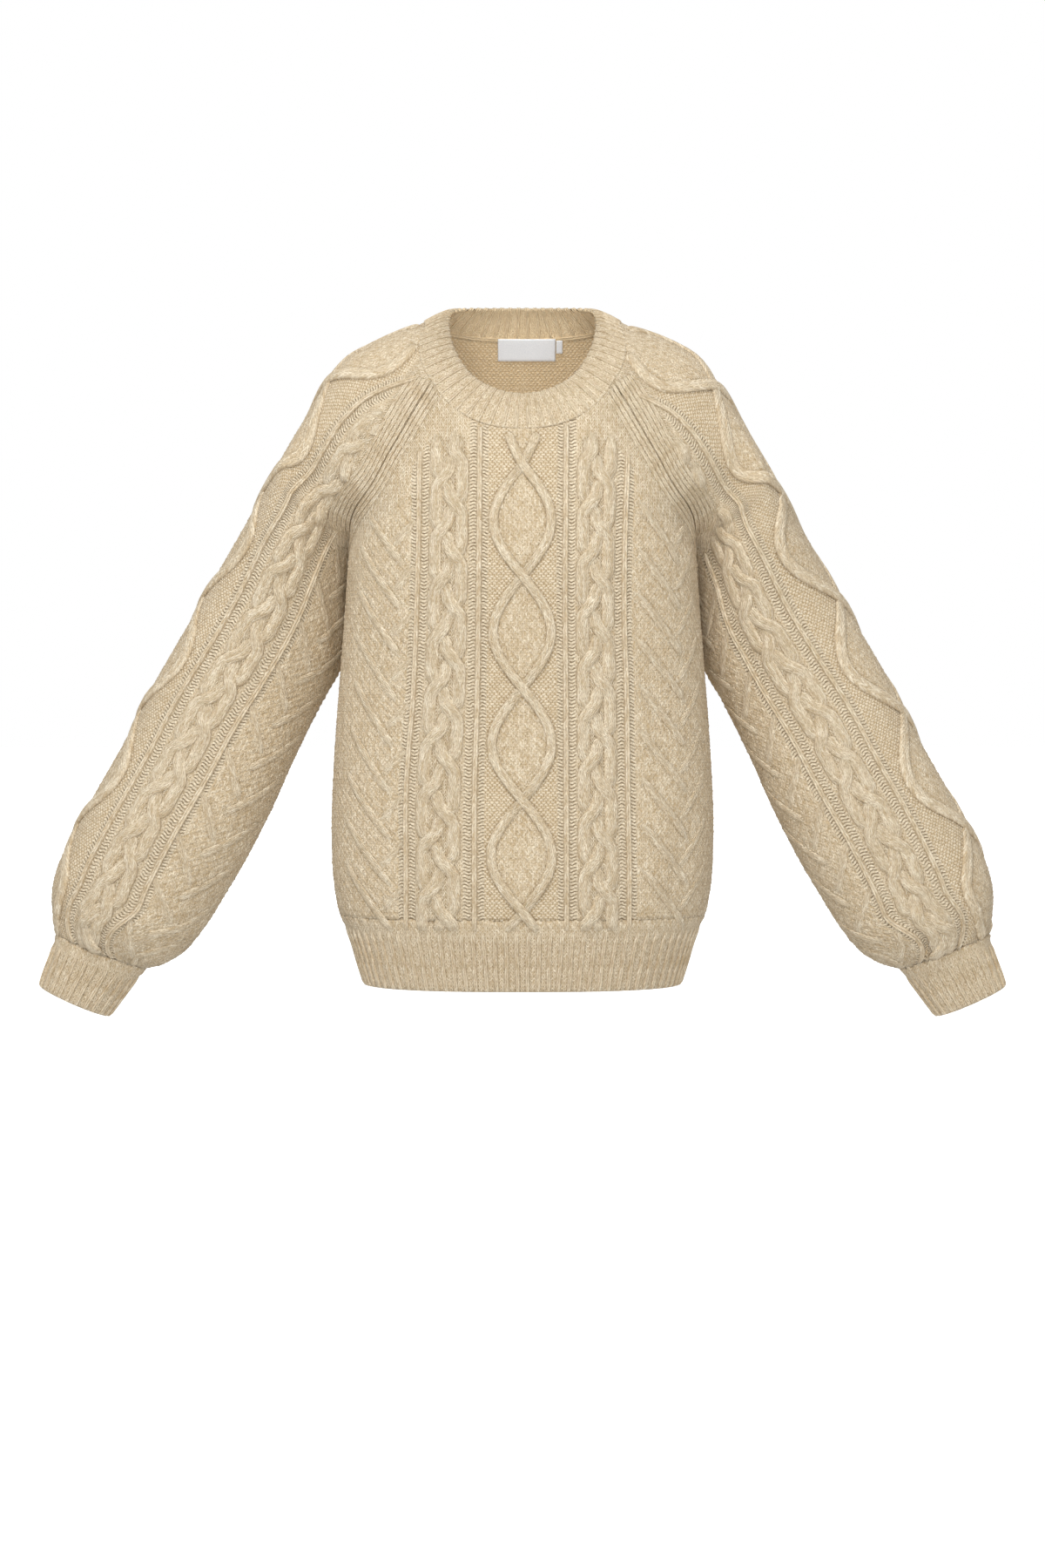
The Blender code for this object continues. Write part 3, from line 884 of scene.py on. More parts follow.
# Sections of the raised knitting, from one foot over the top to the other: places across and
# heights, in millimetres, and how many wales wide each is.
SECTIONS = {
    "single": {
        "wales": 1,
        "across": (-1.4, -2.0, -1.7, -1.1, -0.35, 0.35, 1.1, 1.7, 2.0, 1.4),
        "height": (-1.6, -0.4, 0.7, 1.15, 0.6, 0.6, 1.15, 0.7, -0.4, -1.6),
    },
    "double": {
        "wales": 2,
        "across": (-3.6, -4.5, -3.9, -2.6, -1.2, 0.0, 1.2, 2.6, 3.9, 4.5, 3.6),
        "height": (-1.6, -0.6, 0.9, 1.65, 1.8, 1.55, 1.8, 1.65, 0.9, -0.6, -1.6),
    },
    "triple": {
        "wales": 3,
        "across": (-5.0, -6.2, -5.5, -4.1, -2.4, -0.9, 0.9, 2.4, 4.1, 5.5, 6.2, 5.0),
        "height": (-1.3, -0.8, 0.8, 1.9, 2.35, 2.5, 2.5, 2.35, 1.9, 0.8, -0.8, -1.3),
    },
}
KINDS = list(SECTIONS)
SINK = 1.6                   # how far the ends of a strand go down into the ground
THINNEST = 0.6               # size of a strand at its very ends
INSIDE = 0.2                 # how far a strand's foot stays within the wall when it sinks
TURNING_ROUNDS = 4           # rounds in which a strand's turned place is found
SHORTEST = 4                 # points of the shortest strand
STANDS = 0.7                 # share of its full height from which a strand shades the ground
SHADE_REACH = 1.3            # how far that shade goes


class Wales:
    """Paths of raised knitting, with the surface's normal at each point."""

    def __init__(self, turn=None):
        self.points, self.normals, self.facts, self.edges, self.near = [], [], [], [], []
        self.count = 0
        self.turn = turn

    def keep(self, points, normals, kind, *facts):
        """Keeps one strand, with its kind, its size, how deep it lies, which is painted as shade on it,
        and how much painted warm bounce light and shade it gets.
        """
        facts = np.broadcast_arrays(run_along(points) / ROW, float(KINDS.index(kind)), *facts)
        self.points.append(points)
        self.normals.append(normals)
        self.facts.append(np.stack(facts, axis=1))
        index = np.arange(self.count, self.count + len(points))
        self.edges.append(np.stack([index[:-1], index[1:]], axis=1))
        self.count += len(points)

    def add(self, plan, across, along, lift, kind="single", size=1.0, low=0.0, margin=-FAR,
            fade=(2.0, 2.0), warm=0.0):
        """One strand, cut where it leaves the piece; low is how deep it passes under others, which is
        painted as shade on it, fade the points over which its two ends sink, and the last argument how
        much painted warm bounce light and shade it gets."""
        half = max(SECTIONS[kind]["across"]) * size + 4.0 * min(np.mean(lift), 0.0)
        lift, low, warm = np.broadcast_arrays(lift, low, warm, across)[:3]
        if self.turn:
            place = across
            for _ in range(TURNING_ROUNDS):
                across = place + self.turn(across, along)
        laps = plan.laps(across, along)
        across = across - laps * plan.round(along)
        part = np.where(plan.edge_distance(across, along) > margin, laps, FAR)
        cuts = (np.flatnonzero(np.diff(part)) + 1).tolist()
        for start, end in zip([0, *cuts], [*cuts, len(part)]):
            count = end - start
            if count < SHORTEST or part[start] == FAR:
                continue
            u, v = across[start:end], along[start:end]
            crease = plan.crease(u, v)
            height = lift[start:end] + crease + GROUND
            step = np.arange(count)
            near = ease(np.minimum((step + 0.5) / fade[0], (step[::-1] + 0.5) / fade[1]))
            wide = size * (THINNEST + (1 - THINNEST) * near)
            lowest = plan.inner_level(crease) + INSIDE - min(SECTIONS[kind]["height"]) * wide
            sunk = np.maximum(height - SINK * (1 - near), np.minimum(height, lowest))
            self.keep(*plan.sheet.at(u, v, sunk), kind, wide, low[start:end], warm[start:end])
            self.near.append(np.stack([u, v, np.full(count, half)], axis=1)[near > STANDS])

    def shade(self, across, along):
        """How close places on the ground lie to a raised strand, from 0 to 1; it is painted as shade on
        the ground beside the strands.
        """
        known = np.concatenate(self.near)
        tree = KDTree(len(known))
        for number, (u, v, half) in enumerate(known.tolist()):
            tree.insert((u, v, 0.0), number)
        tree.balance()
        found = [tree.find((u, v, 0.0))[1:] for u, v in zip(across.tolist(), along.tolist())]
        number, distance = (np.array(values) for values in zip(*found))
        away = np.maximum(distance - known[number.astype(int), 2], 0.0)
        return np.exp(-away / SHADE_REACH)


# The moves of a plait's strand: when each starts in a cycle of three crossings, which way it
# goes, and whether over the next strand or under it.
MOVES = ((0.0, 1, 1), (0.5, 1, -1), (1.5, -1, 1), (2.0, -1, -1))
MOVE_TIME = 0.5
# Height of a crossing strand over the ground, and how far it rises over and dips under another.
LEVELS = {"plait": (0.55, 1.5, 1.1), "rope": (0.7, 1.0, 0.8)}
CAP_DIP = (60.0, 90.0, 0.7)  # over the cap the plaits lie lower: from where, over what run, how much
RIDGE = (0.7, 1.2)           # height and size of the single ridges
# The arm of a chevron that runs on past its tip, and the one that ends there: where it starts,
# its height and its size.
CHEVRON_ARMS = {True: (-12.5, -0.1, 0.9), False: (3.5, -0.5, 0.95)}
CHEVRON_SLOPE = 1.1
SEAM_WALES = {"body": 3, "sleeve": 5}            # wales beside each raglan seam
SEAM_WALE = (2.3, 4.5)       # from the seam to the first of them, and from one to the next
SEAM_WALE_SIZE = 0.92
# How far inside the sewn edges the strands end.
MARGINS = {
    "body": {"ridges": (2.0, 24.0), "plait": 10.0, "rope": 3.0, "chevron": 12.0},
    "sleeve": {"ridges": (12.0, 15.0), "plait": 23.0, "rope": 6.0, "chevron": 14.0},
}


def level(kind, over):
    """Height of a strand by how far it is over another one, from -1 to 1."""
    middle, rise, dip = LEVELS[kind]
    return middle + np.where(over > 0, rise, dip) * over


def plait_strand(turn):
    """Place and height of one strand of the plait, by its share of the three-crossing cycle."""
    place = -np.ones(np.shape(turn))
    height = np.zeros(np.shape(turn))
    for start, way, over in MOVES:
        part = np.clip((turn - start) / MOVE_TIME, 0.0, 1.0)
        place += way * ease(part)
        height += over * np.sin(np.pi * part) ** 2
    return place, height


def add_plaits(wales, plan, kind, bottom, top, plait):
    """Three-strand plaits on both sides of the piece. On a sleeve their repeats follow the cloth's
    own length over the cap, where they also lie lower."""
    plait_top, first_move, last_turn = plait
    along = np.arange(bottom, min(top, plait_top), ROW * 0.8)
    for centre in (PLANS[kind]["plait"], -PLANS[kind]["plait"]):
        run, lowered = along, 0.0
        if plan.joined:
            turned = centre + wales.turn(centre, along)
            worn = run_along(plan.sheet.at(turned, along, np.zeros(len(along)))[0])
            past = worn - np.interp(plan.seam_from, along, worn)
            run = np.where(along < plan.seam_from, along, plan.seam_from + past)
            start, reach, dip = CAP_DIP
            lowered = dip * ease((run - plan.seam_from - start) / reach)
        turn = np.minimum((run - first_move) / PLAIT_REPEAT, last_turn)
        for strand in range(3):
            place, height = plait_strand((turn + strand) % 3.0)
            across = centre + np.sign(centre) * PLAIT_REACH * place
            wales.add(plan, across, along, level("plait", height) - lowered, "triple",
                      low=np.clip(-height, 0.0, 1.0), margin=MARGINS[kind]["plait"], fade=(2.0, 7.0))


def add_ropes(wales, plan, kind, bottom, top):
    """The two ropes of the diamonds, one passing steeply over the other at each crossing."""
    along = np.arange(bottom, top, ROW)
    turn = np.pi * (along - CROSSING[kind]) / DIAMOND_REPEAT[kind]
    for sign in (1, -1):
        over = -sign * np.cos(turn) * np.abs(np.cos(turn)) ** 5
        wales.add(plan, sign * rope_reach(kind, along), along, level("rope", over), "double",
                  ROPE_SIZE[kind], low=np.clip(-over, 0.0, 1.0), margin=MARGINS[kind]["rope"])


def add_chevrons(wales, plan, kind):
    """Nested chevrons that point down, on both sides of the piece; one arm of each runs on past
    the other."""
    tips = np.arange(CHEVRON_FIRST[kind], plan.seam_from + CHEVRON_LAST, CHEVRON_REPEAT[kind])
    for sign, (inner, tip, outer) in PLANS[kind]["chevron"].items():
        for height in tips:
            for end in (inner, outer):
                start, lift, size = CHEVRON_ARMS[(end > tip) == (sign < 0)]
                away = np.arange(start, abs(end - tip) + ROW, ROW * 0.8)
                across = sign * (tip + np.sign(end - tip) * away)
                wales.add(plan, across, height + away * CHEVRON_SLOPE, lift, "double", size,
                          margin=MARGINS[kind]["chevron"], fade=(3.0, 4.0))


def add_seam_wales(wales, plan, kind):
    """Wales that run beside the raglan seams."""
    first, pitch = SEAM_WALE
    for sign in (1, -1):
        along = np.arange(plan.seam_from + 8.0, plan.heights[-1] - 1.0, ROW * 0.8)
        low, high = plan.edges(along)
        across = high if sign > 0 else low
        way = unit(np.stack([np.gradient(across), np.gradient(along)], axis=1)) * sign
        for off in first + pitch * np.arange(SEAM_WALES[kind]):
            wales.add(plan, across - way[:, 1] * off, along + way[:, 0] * off, 0.4 - off * 0.02,
                      size=SEAM_WALE_SIZE, margin=0.2)


def add_ridges(wales, plan, kind, bottom, top):
    """Single wales that frame the plaits."""
    along = np.arange(bottom, top, ROW)
    lift, size = RIDGE
    for place, margin in zip(PLANS[kind]["ridges"], MARGINS[kind]["ridges"]):
        for sign in (1, -1):
            wales.add(plan, np.full(len(along), sign * place), along, lift, size=size, margin=margin)


def cable_wales(plan, kind, turn, bottom, top, plait):
    """All the raised knitting of a cabled piece; only the wales beside the seams aren't turned."""
    wales = Wales(turn)
    add_ridges(wales, plan, kind, bottom, top)
    add_plaits(wales, plan, kind, bottom, top, plait)
    add_ropes(wales, plan, kind, bottom, top)
    add_chevrons(wales, plan, kind)
    wales.turn = None
    add_seam_wales(wales, plan, kind)
    return wales


def section_objects():
    """The sections as outlines for the sweep."""
    things = []
    for name, section in SECTIONS.items():
        across = np.array(section["across"])
        height = np.array(section["height"])
        count = len(across)
        mesh = bpy.data.meshes.new(f"{name}_section")
        mesh.from_pydata(list(zip((height * MM).tolist(), (across * MM).tolist(), [0.0] * count)),
                         [(number, (number + 1) % count) for number in range(count)], [])
        width = across.max() * 2 / section["wales"]
        set_values(mesh, "leg", across / width + section["wales"] / 2)
        things.append(put_in_scene(mesh.name, mesh))
    return things


class Nodes:
    """Makes and joins the nodes of one tree."""

    def __init__(self, tree):
        self.tree = tree

    def give(self, socket, value):
        """Sets an input, or joins it to another node's output."""
        if isinstance(value, Value):
            value = value.socket
        if isinstance(value, bpy.types.NodeSocket):
            self.tree.links.new(value, socket)
        else:
            socket.default_value = value

    def node(self, kind, settings=(), **links):
        """New node with its inputs, by their names or by i and their numbers."""
        made = self.tree.nodes.new(kind)
        for key, value in dict(settings).items():
            setattr(made, key, value)
        for key, value in links.items():
            name = int(key[1:]) if key[1:].isdigit() else key.replace("_", " ")
            self.give(made.inputs[name], value)
        return made


def wale_tree():
    """Geometry Nodes that sweep the section of each kind of strand along its paths."""
    tree = bpy.data.node_groups.new("knit_wales", "GeometryNodeTree")
    tree.interface.new_socket("Geometry", in_out="INPUT", socket_type="NodeSocketGeometry")
    for name in KINDS:
        tree.interface.new_socket(name, in_out="INPUT", socket_type="NodeSocketObject")
    tree.interface.new_socket("Wool", in_out="INPUT", socket_type="NodeSocketMaterial")
    tree.interface.new_socket("Geometry", in_out="OUTPUT", socket_type="NodeSocketGeometry")
    node = Nodes(tree).node

    def named(name, kind="FLOAT"):
        made = node("GeometryNodeInputNamedAttribute", {"data_type": kind}, Name=name)
        return next(socket for socket in made.outputs if socket.enabled and socket.name == "Attribute")

    given = node("NodeGroupInput")
    path = node("GeometryNodeMeshToCurve", Mesh=given.outputs["Geometry"])
    path = node("GeometryNodeSetCurveNormal", {"mode": "FREE"}, Curve=path.outputs[0],
                Normal=named("normal_way", "FLOAT_VECTOR"))
    joined = node("GeometryNodeJoinGeometry")
    for number, name in enumerate(KINDS):
        same = node("FunctionNodeCompare", {"data_type": "FLOAT", "operation": "EQUAL"},
                    i0=named("kind"), i1=float(number))
        chosen = node("GeometryNodeSeparateGeometry", {"domain": "POINT"}, Geometry=path.outputs[0],
                      Selection=same.outputs[0])
        section = node("GeometryNodeObjectInfo", Object=given.outputs[name])
        section = node("GeometryNodeMeshToCurve", Mesh=section.outputs["Geometry"])
        sweep = node("GeometryNodeCurveToMesh", Curve=chosen.outputs[0], Profile_Curve=section.outputs[0],
                     Scale=named("size"), Fill_Caps=True)
        tree.links.new(sweep.outputs[0], joined.inputs[0])
    place = node("ShaderNodeCombineXYZ", X=named("leg"), Y=named("row"))
    stored = node("GeometryNodeStoreNamedAttribute", {"data_type": "FLOAT2", "domain": "CORNER"},
                  Geometry=joined.outputs[0], Name="stitches")
    value = next(socket for socket in stored.inputs if socket.enabled and socket.name == "Value")
    tree.links.new(place.outputs[0], value)
    real = node("GeometryNodeRealizeInstances", Geometry=stored.outputs[0])
    dressed = node("GeometryNodeSetMaterial", Geometry=real.outputs[0], Material=given.outputs["Wool"])
    node("NodeGroupOutput", Geometry=dressed.outputs[0])
    return tree


def make_wales(name, wales, hand=1.0):
    """Mesh of raised strands, swept along their paths."""
    turn = np.array([hand, 1.0, 1.0])
    mesh = bpy.data.meshes.new(name)
    mesh.from_pydata((np.concatenate(wales.points) * turn * MM).tolist(),
                     np.concatenate(wales.edges).tolist(), [])
    set_values(mesh, "normal_way", np.concatenate(wales.normals) * turn, "FLOAT_VECTOR", "vector")
    for key, values in zip(("row", "kind", "size", "low", "warm"), np.concatenate(wales.facts).T):
        set_values(mesh, key, values)
    paths = put_in_scene(name + "_paths", mesh)
    sweep = paths.modifiers.new("sweep", "NODES")
    sweep.node_group = sweep_tree
    names = {item.name: item.identifier for item in sweep_tree.interface.items_tree
             if item.in_out == "INPUT"}
    for key, value in zip((*KINDS, "Wool"), (*sections, raised_wool)):
        sweep[names[key]] = value
    bpy.context.view_layer.update()
    swept = bpy.data.meshes.new_from_object(paths.evaluated_get(bpy.context.evaluated_depsgraph_get()))
    swept.name = name
    bpy.data.objects.remove(paths, do_unlink=True)
    swept.polygons.foreach_set("use_smooth", np.ones(len(swept.polygons), bool))
    return put_in_scene(name, swept)


# -------------------------------- the neck rib

def neck_seam():
    """Neckline from the front centre round the sleeve's top to the back centre."""
    lines = []
    for side, start, end in (("front", 0.0, 1.0), ("back", 1.0, 0.0)):
        neck = NECKLINE[side]
        share = np.linspace(start, end, 40)
        turn = read(RAGLAN, side, neck["ends"]) - neck["centre"]
        height = neck["ends"] - neck["dip"] * (1 - share ** neck["power"])
        lines.append(body_point(neck["centre"] + share * turn, height))
    return np.concatenate([lines[0], cap_row(1.0)[1:-1], lines[1]])


COLLAR_POINTS = 70           # points round half of the neck rib
FOLD_TURNS = np.arange(22.5, 180.0, 22.5)        # degrees of its rings round the fold
OUTER_SWELL = 0.93           # share of the table that its outer face uses


def collar_plan():
    """The doubled neck rib: up its outer face, over the fold and down its inner face."""
    seam = neck_seam()
    run = run_along(seam)
    even = np.linspace(0.0, run[-1], COLLAR_POINTS)
    low = np.stack([np.interp(even, run, seam[:, axis]) for axis in range(3)], axis=1)
    high = read_point(NECK_EDGE, "x y z", 180.0 * even / run[-1])
    rise = unit(high - low)
    low = low - rise * SEAM
    deep = np.linalg.norm(high - low, axis=1)[:, None]
    outward = unit(np.cross(np.gradient(low, axis=0), rise))
    fold = COLLAR / 2
    stations = []
    for share in np.linspace(0.0, 1.0, 9):
        swell = read(COLLAR_ROWS, "swell", share * OUTER_SWELL)
        stations.append(low + rise * (deep - fold) * share + outward * swell)
    top = stations[-1] - outward * fold
    for turn in np.radians(FOLD_TURNS):
        stations.append(top + outward * fold * np.cos(turn) + rise * fold * np.sin(turn))
    stations += [line - outward * COLLAR for line in stations[8::-1]]
    mirror = np.array([-1.0, 1.0, 1.0])
    rings = [np.concatenate([line[:0:-1] * mirror, line]) for line in stations]
    middle = len(low) - 1
    steps = [0.0]
    for lower, upper in zip(rings, rings[1:]):
        steps.append(np.linalg.norm(upper - lower, axis=1).mean())
    along = np.cumsum(steps)
    run = run_along(rings[4])
    across = [run - run[middle]] * len(rings)
    sheet = Sheet(rings, across, along)
    half = run[-1] / 2
    rows = [straight_row(-half, half, place) for place in even_rows(0.0, along[-1], COLLAR_ROW)]
    return Plan(sheet, rows, len(rows), -COLLAR / 2 + 0.25)


def add_ribs(wales, plan, count, ends=(0.0, 0.0), lift=0.2, size=1.0, fold=FAR):
    """Ribs at equal shares of a band's width, from its lower edge to its upper one."""
    along = np.arange(plan.heights[0] + ends[0], plan.heights[-1] - ends[1], ROW)
    low, high = plan.edges(along)
    for number in range(count):
        share = (number + 0.5) / count
        wobble = 0.35 * np.sin(along / 11.0 + 2.4 * number)
        # ribs past the fold get painted warm bounce light and shade
        wales.add(plan, low + (high - low) * share + wobble, along, lift, size=size, fade=(1.0, 4.0),
                  warm=ease((along - fold) / 4.0))


# The linking wale: its place above the seam, how far it lies out of the neck rib's inner face
# towards the outer one, and its size.
LINK = (2.6, 1.4, 0.95)


def add_link(wales, plan):
    """The wale that links the neck rib to the body, on its inner side."""
    low, high = plan.low[0], plan.high[0]
    across = np.arange(low + 1.0, high - 1.0, ROW)
    across = np.append(across, across[0] + high - low)
    above, proud, size = LINK
    same = np.ones(len(across))
    points, normals = plan.sheet.at(across, above * same, (proud - COLLAR) * same)
    points[-1], normals[-1] = points[0], normals[0]
    wales.keep(points, -normals, "single", size, 0.0, 1.0)


# -------------------------------- wool

class Maker(Nodes):
    """Makes the nodes of one material."""

    def __init__(self, name):
        self.material = bpy.data.materials.new(name)
        self.material.use_nodes = True
        super().__init__(self.material.node_tree)

    def finish(self, values):
        """Sets the shader's inputs by their names, and hands over the material."""
        shader = next(node for node in self.tree.nodes if node.type == "BSDF_PRINCIPLED")
        for name, value in values.items():
            self.give(shader.inputs[name], value)
        return self.material

    def value(self, output, kind, settings=(), **links):
        """The number that a new node puts out."""
        return Value(self, self.node(kind, settings, **links).outputs[output])

    def math(self, operation, *values):
        links = {f"i{number}": value for number, value in enumerate(values)}
        return self.value(0, "ShaderNodeMath", {"operation": operation}, **links)

    def attribute(self, name):
        return self.value("Fac", "ShaderNodeAttribute", {"attribute_name": name})

    def step(self, value, low, high):
        """0 below low, 1 above high, and smooth between."""
        return self.value("Result", "ShaderNodeMapRange", {"interpolation_type": "SMOOTHSTEP"},
                          Value=value, From_Min=low, From_Max=high)

    def random(self, across, along):
        """A steady random number for each whole step across and along."""
        cell = self.node("ShaderNodeCombineXYZ", X=self.math("FLOOR", across), Y=self.math("FLOOR", along))
        return self.value("Value", "ShaderNodeTexWhiteNoise", {"noise_dimensions": "2D"},
                          Vector=cell.outputs[0])

    def noise(self, place, scale, detail=2.0, rough=0.5):
        return self.value(0, "ShaderNodeTexNoise", Vector=place, Scale=scale, Detail=detail,
                          Roughness=rough)

    def mix(self, share, first, second):
        """Colour between two colours."""
        made = self.node("ShaderNodeMix", {"data_type": "RGBA"}, i0=share, i6=first, i7=second)
        return made.outputs[2]


class Value:
    """A number inside a material, for plain arithmetic from either side."""

    def __init__(self, maker, socket):
        self.maker = maker
        self.socket = socket

    def __add__(self, other):
        return self.maker.math("ADD", self, other)

    def __sub__(self, other):
        return self.maker.math("SUBTRACT", self, other)

    def __rsub__(self, other):
        return self.maker.math("SUBTRACT", other, self)

    def __mul__(self, other):
        return self.maker.math("MULTIPLY", self, other)

    def __pow__(self, other):
        return self.maker.math("POWER", self, other)

    __radd__ = __add__
    __rmul__ = __mul__

    def sine(self):
        return self.maker.math("SINE", self)

    def share(self):
        return self.maker.math("FRACT", self)

    def size(self):
        return self.maker.math("ABSOLUTE", self)


def paint(red, green, blue):
    """Linear colour from one as it is seen, from 0 to 255."""
    seen = np.array([red, green, blue]) / 255.0
    linear = np.where(seen > 0.04045, ((seen + 0.055) / 1.055) ** 2.4, seen / 12.92)
    return (*linear.tolist(), 1.0)


TURN = 2 * np.pi
WOOL = {
    # heather tone; also a painted highlight on the rungs of the purl ladders
    "light": paint(250, 238, 214),
    # heather tone; also painted shade in the hollows of the raised stitches
    "tan": paint(201, 179, 144),
    # darker heather tone; also painted shade in the hollows of the ground's stitches
    "deep": paint(180, 154, 115),
    # colour of painted shade in holes and gaps and beside the raised strands
    "hole": paint(118, 98, 68),
    # colour of painted warm bounce light and shade inside the neck
    "inside": paint(240, 214, 170),
    # brown flecks of the yarn; also painted shade in the hollows of the inner face
    "fleck": paint(170, 128, 82),
}


def wool_material(name, raised):
    """Heathered wool; raised is for wales that stand up from the ground."""
    wool = Maker(name)
    uv = wool.node("ShaderNodeUVMap", {"uv_map": "stitches"})
    split = wool.node("ShaderNodeSeparateXYZ", Vector=uv.outputs[0])
    u, v = Value(wool, split.outputs[0]), Value(wool, split.outputs[1])
    place = wool.node("ShaderNodeTexCoord").outputs["Object"]
    wander = wool.noise(place, 330.0, 1.0)
    stray = wool.noise(place, 210.0, 1.0)
    drift = 0.35 if raised else 0.35 + wool.attribute("moss") * 0.5
    side = ((u.share() - 0.5 + (stray - 0.5) * drift) * 2).size()
    if raised:
        lean = v * 0.62 + side * 1.3 + (wander - 0.5) * 1.1
    else:
        lean = v + side * 1.15 + (wander - 0.5) * 0.9
    legs = (lean.share() * np.pi).sine() ** 0.7
    valley = wool.step(side, 0.0, 0.4) * (1 - wool.step(side, 0.75, 1.0) * 0.9)
    tone = wool.random(u * 2, lean)
    if raised:
        single = 1 - wool.math("MINIMUM", wool.attribute("kind"), 1.0)
        relief = legs * (0.65 - single * 0.3) + valley * (0.35 + single * 0.3)
        # painted shade on the strands where they pass under others
        shade = wool.attribute("low") * 0.55
        # painted shade: the low parts of the raised stitches' relief are painted darker
        cavity_shade = 1 - wool.step(relief, 0.2, 0.75)
    else:
        purl, moss = wool.attribute("purl"), wool.attribute("moss")
        gutter, inside = wool.attribute("gutter"), wool.attribute("inside")
        bow = ((u - 0.25) * TURN).sine()
        line = v * 1.42 + bow * 0.12 + wander * 0.9
        waves = (line.share() * np.pi).sine() ** 0.8 * (0.6 + stray * 0.7)
        bumps = ((u + 0.25 + (stray - 0.5) * 0.6) * TURN).sine() * (line * np.pi).sine() * 0.5 + 0.5
        waves = waves * 0.4 + bumps * 0.85 - 0.1
        check = (((u + wander * 1.2) * np.pi).sine() * ((v + stray * 1.6) * np.pi).sine()) * 0.5 + 0.5
        seeds = (legs * 0.6 + valley * 0.4) * check + waves * (1 - check) - 0.06
        seeds = seeds + wool.attribute("seed") * 0.12 + (stray - 0.5) * 0.5
        purl_all = wool.math("MAXIMUM", purl, inside)
        relief = (legs * 0.65 + valley * 0.35) * (1 - purl_all) + waves * purl_all
        relief = relief * (1 - moss) + seeds * moss
        tone = tone * (1 - purl_all * 0.75) + purl_all * (0.4 + wool.random(u * 2, line) * 0.35)
        rungs = ((v + (u * np.pi).sine() * 0.22 + (wander - 0.5) * 0.5) * TURN).sine() * 0.5 + 0.5
        gutter = wool.step(gutter, 0.1, 0.6) * (1 - inside)
        # painted shade in the holes between the rungs of the purl ladders
        hole = gutter * wool.step(rungs, 0.5, 0.85) * (0.6 + wool.step(stray, 0.3, 0.6) * 0.4)
        # painted shade: the low parts of the ground stitches' relief are painted darker
        cavity_shade = 1 - wool.step(relief, 0.2, 0.85)
        # painted shade on the ground beside the raised strands
        shade = wool.attribute("shade")
    mottle = wool.noise(place, 480.0, 2.0, 0.7)
    tweed = wool.noise(place, 230.0, 2.0, 0.6)
    broad = wool.noise(place, 60.0, 3.0, 0.6)
    fleck = wool.noise(place, 1000.0, 1.0)
    tint = wool.mix(tone * 0.65 + wool.step(mottle, 0.3, 0.7) * 0.35, WOOL["tan"], WOOL["light"])
    layers = [
        (wool.step(fleck, 0.6, 0.72) * 0.5, "fleck"),
        (wool.step(tweed, 0.42, 0.68) * 0.3, "deep"),
        (wool.step(broad, 0.35, 0.7) * 0.16, "deep"),
    ]
    shaded = (shade * (0.22 + cavity_shade * 0.35), "hole")
    if raised:
        # painted shade between the legs of the raised stitches, and where they pass under others
        layers += [(cavity_shade * 0.46, "tan"), shaded]
    else:
        # painted shade in the gaps between the purl and moss bumps
        gap_shade = 1 - wool.step(relief - purl_all * 0.14, 0.0, 0.3)
        layers += [
            (cavity_shade * (0.85 - moss * 0.3), "deep"),
            (gap_shade * (0.5 + purl_all * 0.15), "hole"),
            shaded,
            # painted highlight: the purl ladders are painted lighter so their rungs read as lit bars
            (gutter * 0.35, "light"),
            (hole * 0.85, "hole"),
            # painted shade in the hollows of the inner face
            (inside * (1 - wool.step(relief, 0.2, 0.8)) * 0.6, "fleck"),
        ]
    # painted warm bounce light and shade inside the neck
    layers.append((wool.attribute("warm") * 0.55, "inside"))
    for share, colour in layers:
        tint = wool.mix(share, tint, WOOL[colour])
    fibre = wool.noise(place, 2400.0, 2.0, 0.7)
    height = relief + fibre * 0.3 + mottle * 0.35
    bump = wool.node("ShaderNodeBump", Strength=0.9, Distance=0.0011, Height=height)
    return wool.finish({
        "Base Color": tint, "Normal": bump.outputs[0], "Roughness": 0.92, "Specular IOR Level": 0.2,
        "Sheen Weight": 0.15, "Sheen Roughness": 0.5, "Sheen Tint": (1.0, 0.93, 0.82, 1.0),
    })


THREAD = 0.0006              # metres from one thread of the labels' cloth to the next


def label_material():
    """Close plain-woven white cloth."""
    cloth = Maker("woven_white")
    place = cloth.node("ShaderNodeTexCoord").outputs["Object"]
    split = cloth.node("ShaderNodeSeparateXYZ", Vector=place)
    x, z = Value(cloth, split.outputs[0]), Value(cloth, split.outputs[2])
    thread = TURN / THREAD
    weave = (x * thread).sine() * (z * thread).sine()
    shade = cloth.noise(place, 1600.0, 2.0)
    tint = cloth.mix(cloth.step(shade, 0.3, 0.7), paint(232, 236, 240), paint(246, 248, 250))
    bump = cloth.node("ShaderNodeBump", Strength=0.4, Distance=0.0002, Height=weave * 0.5 + shade)
    return cloth.finish({"Base Color": tint, "Normal": bump.outputs[0], "Roughness": 0.7})


# -------------------------------- the pieces

def finish_piece(piece, material, slot, *nodes):
    """Gives a piece its material and its body, and hides the solids it stands for; slot is not used."""
    if not piece.data.materials:
        piece.data.materials.append(material)
    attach(piece, "root")
    if nodes:
        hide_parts(*nodes)


def knit_piece(name, raised_name, node, slot, plan, pattern, wales, hand=1.0):
    """One knitted piece: its ground and its raised strands, dressed, with the size of its flat cut worked
    out.
    """
    piece = make_ground(name, plan, pattern, wales, hand)
    raised = make_wales(raised_name, wales, hand)
    finish_piece(piece, ground_wool, slot, node)
    finish_piece(raised, raised_wool, slot)
    width = (plan.high - plan.low).max() * MM
    length = (plan.heights[-1] - plan.heights[0]) * MM
    area = min(plan.area() * MM * MM, width * length)


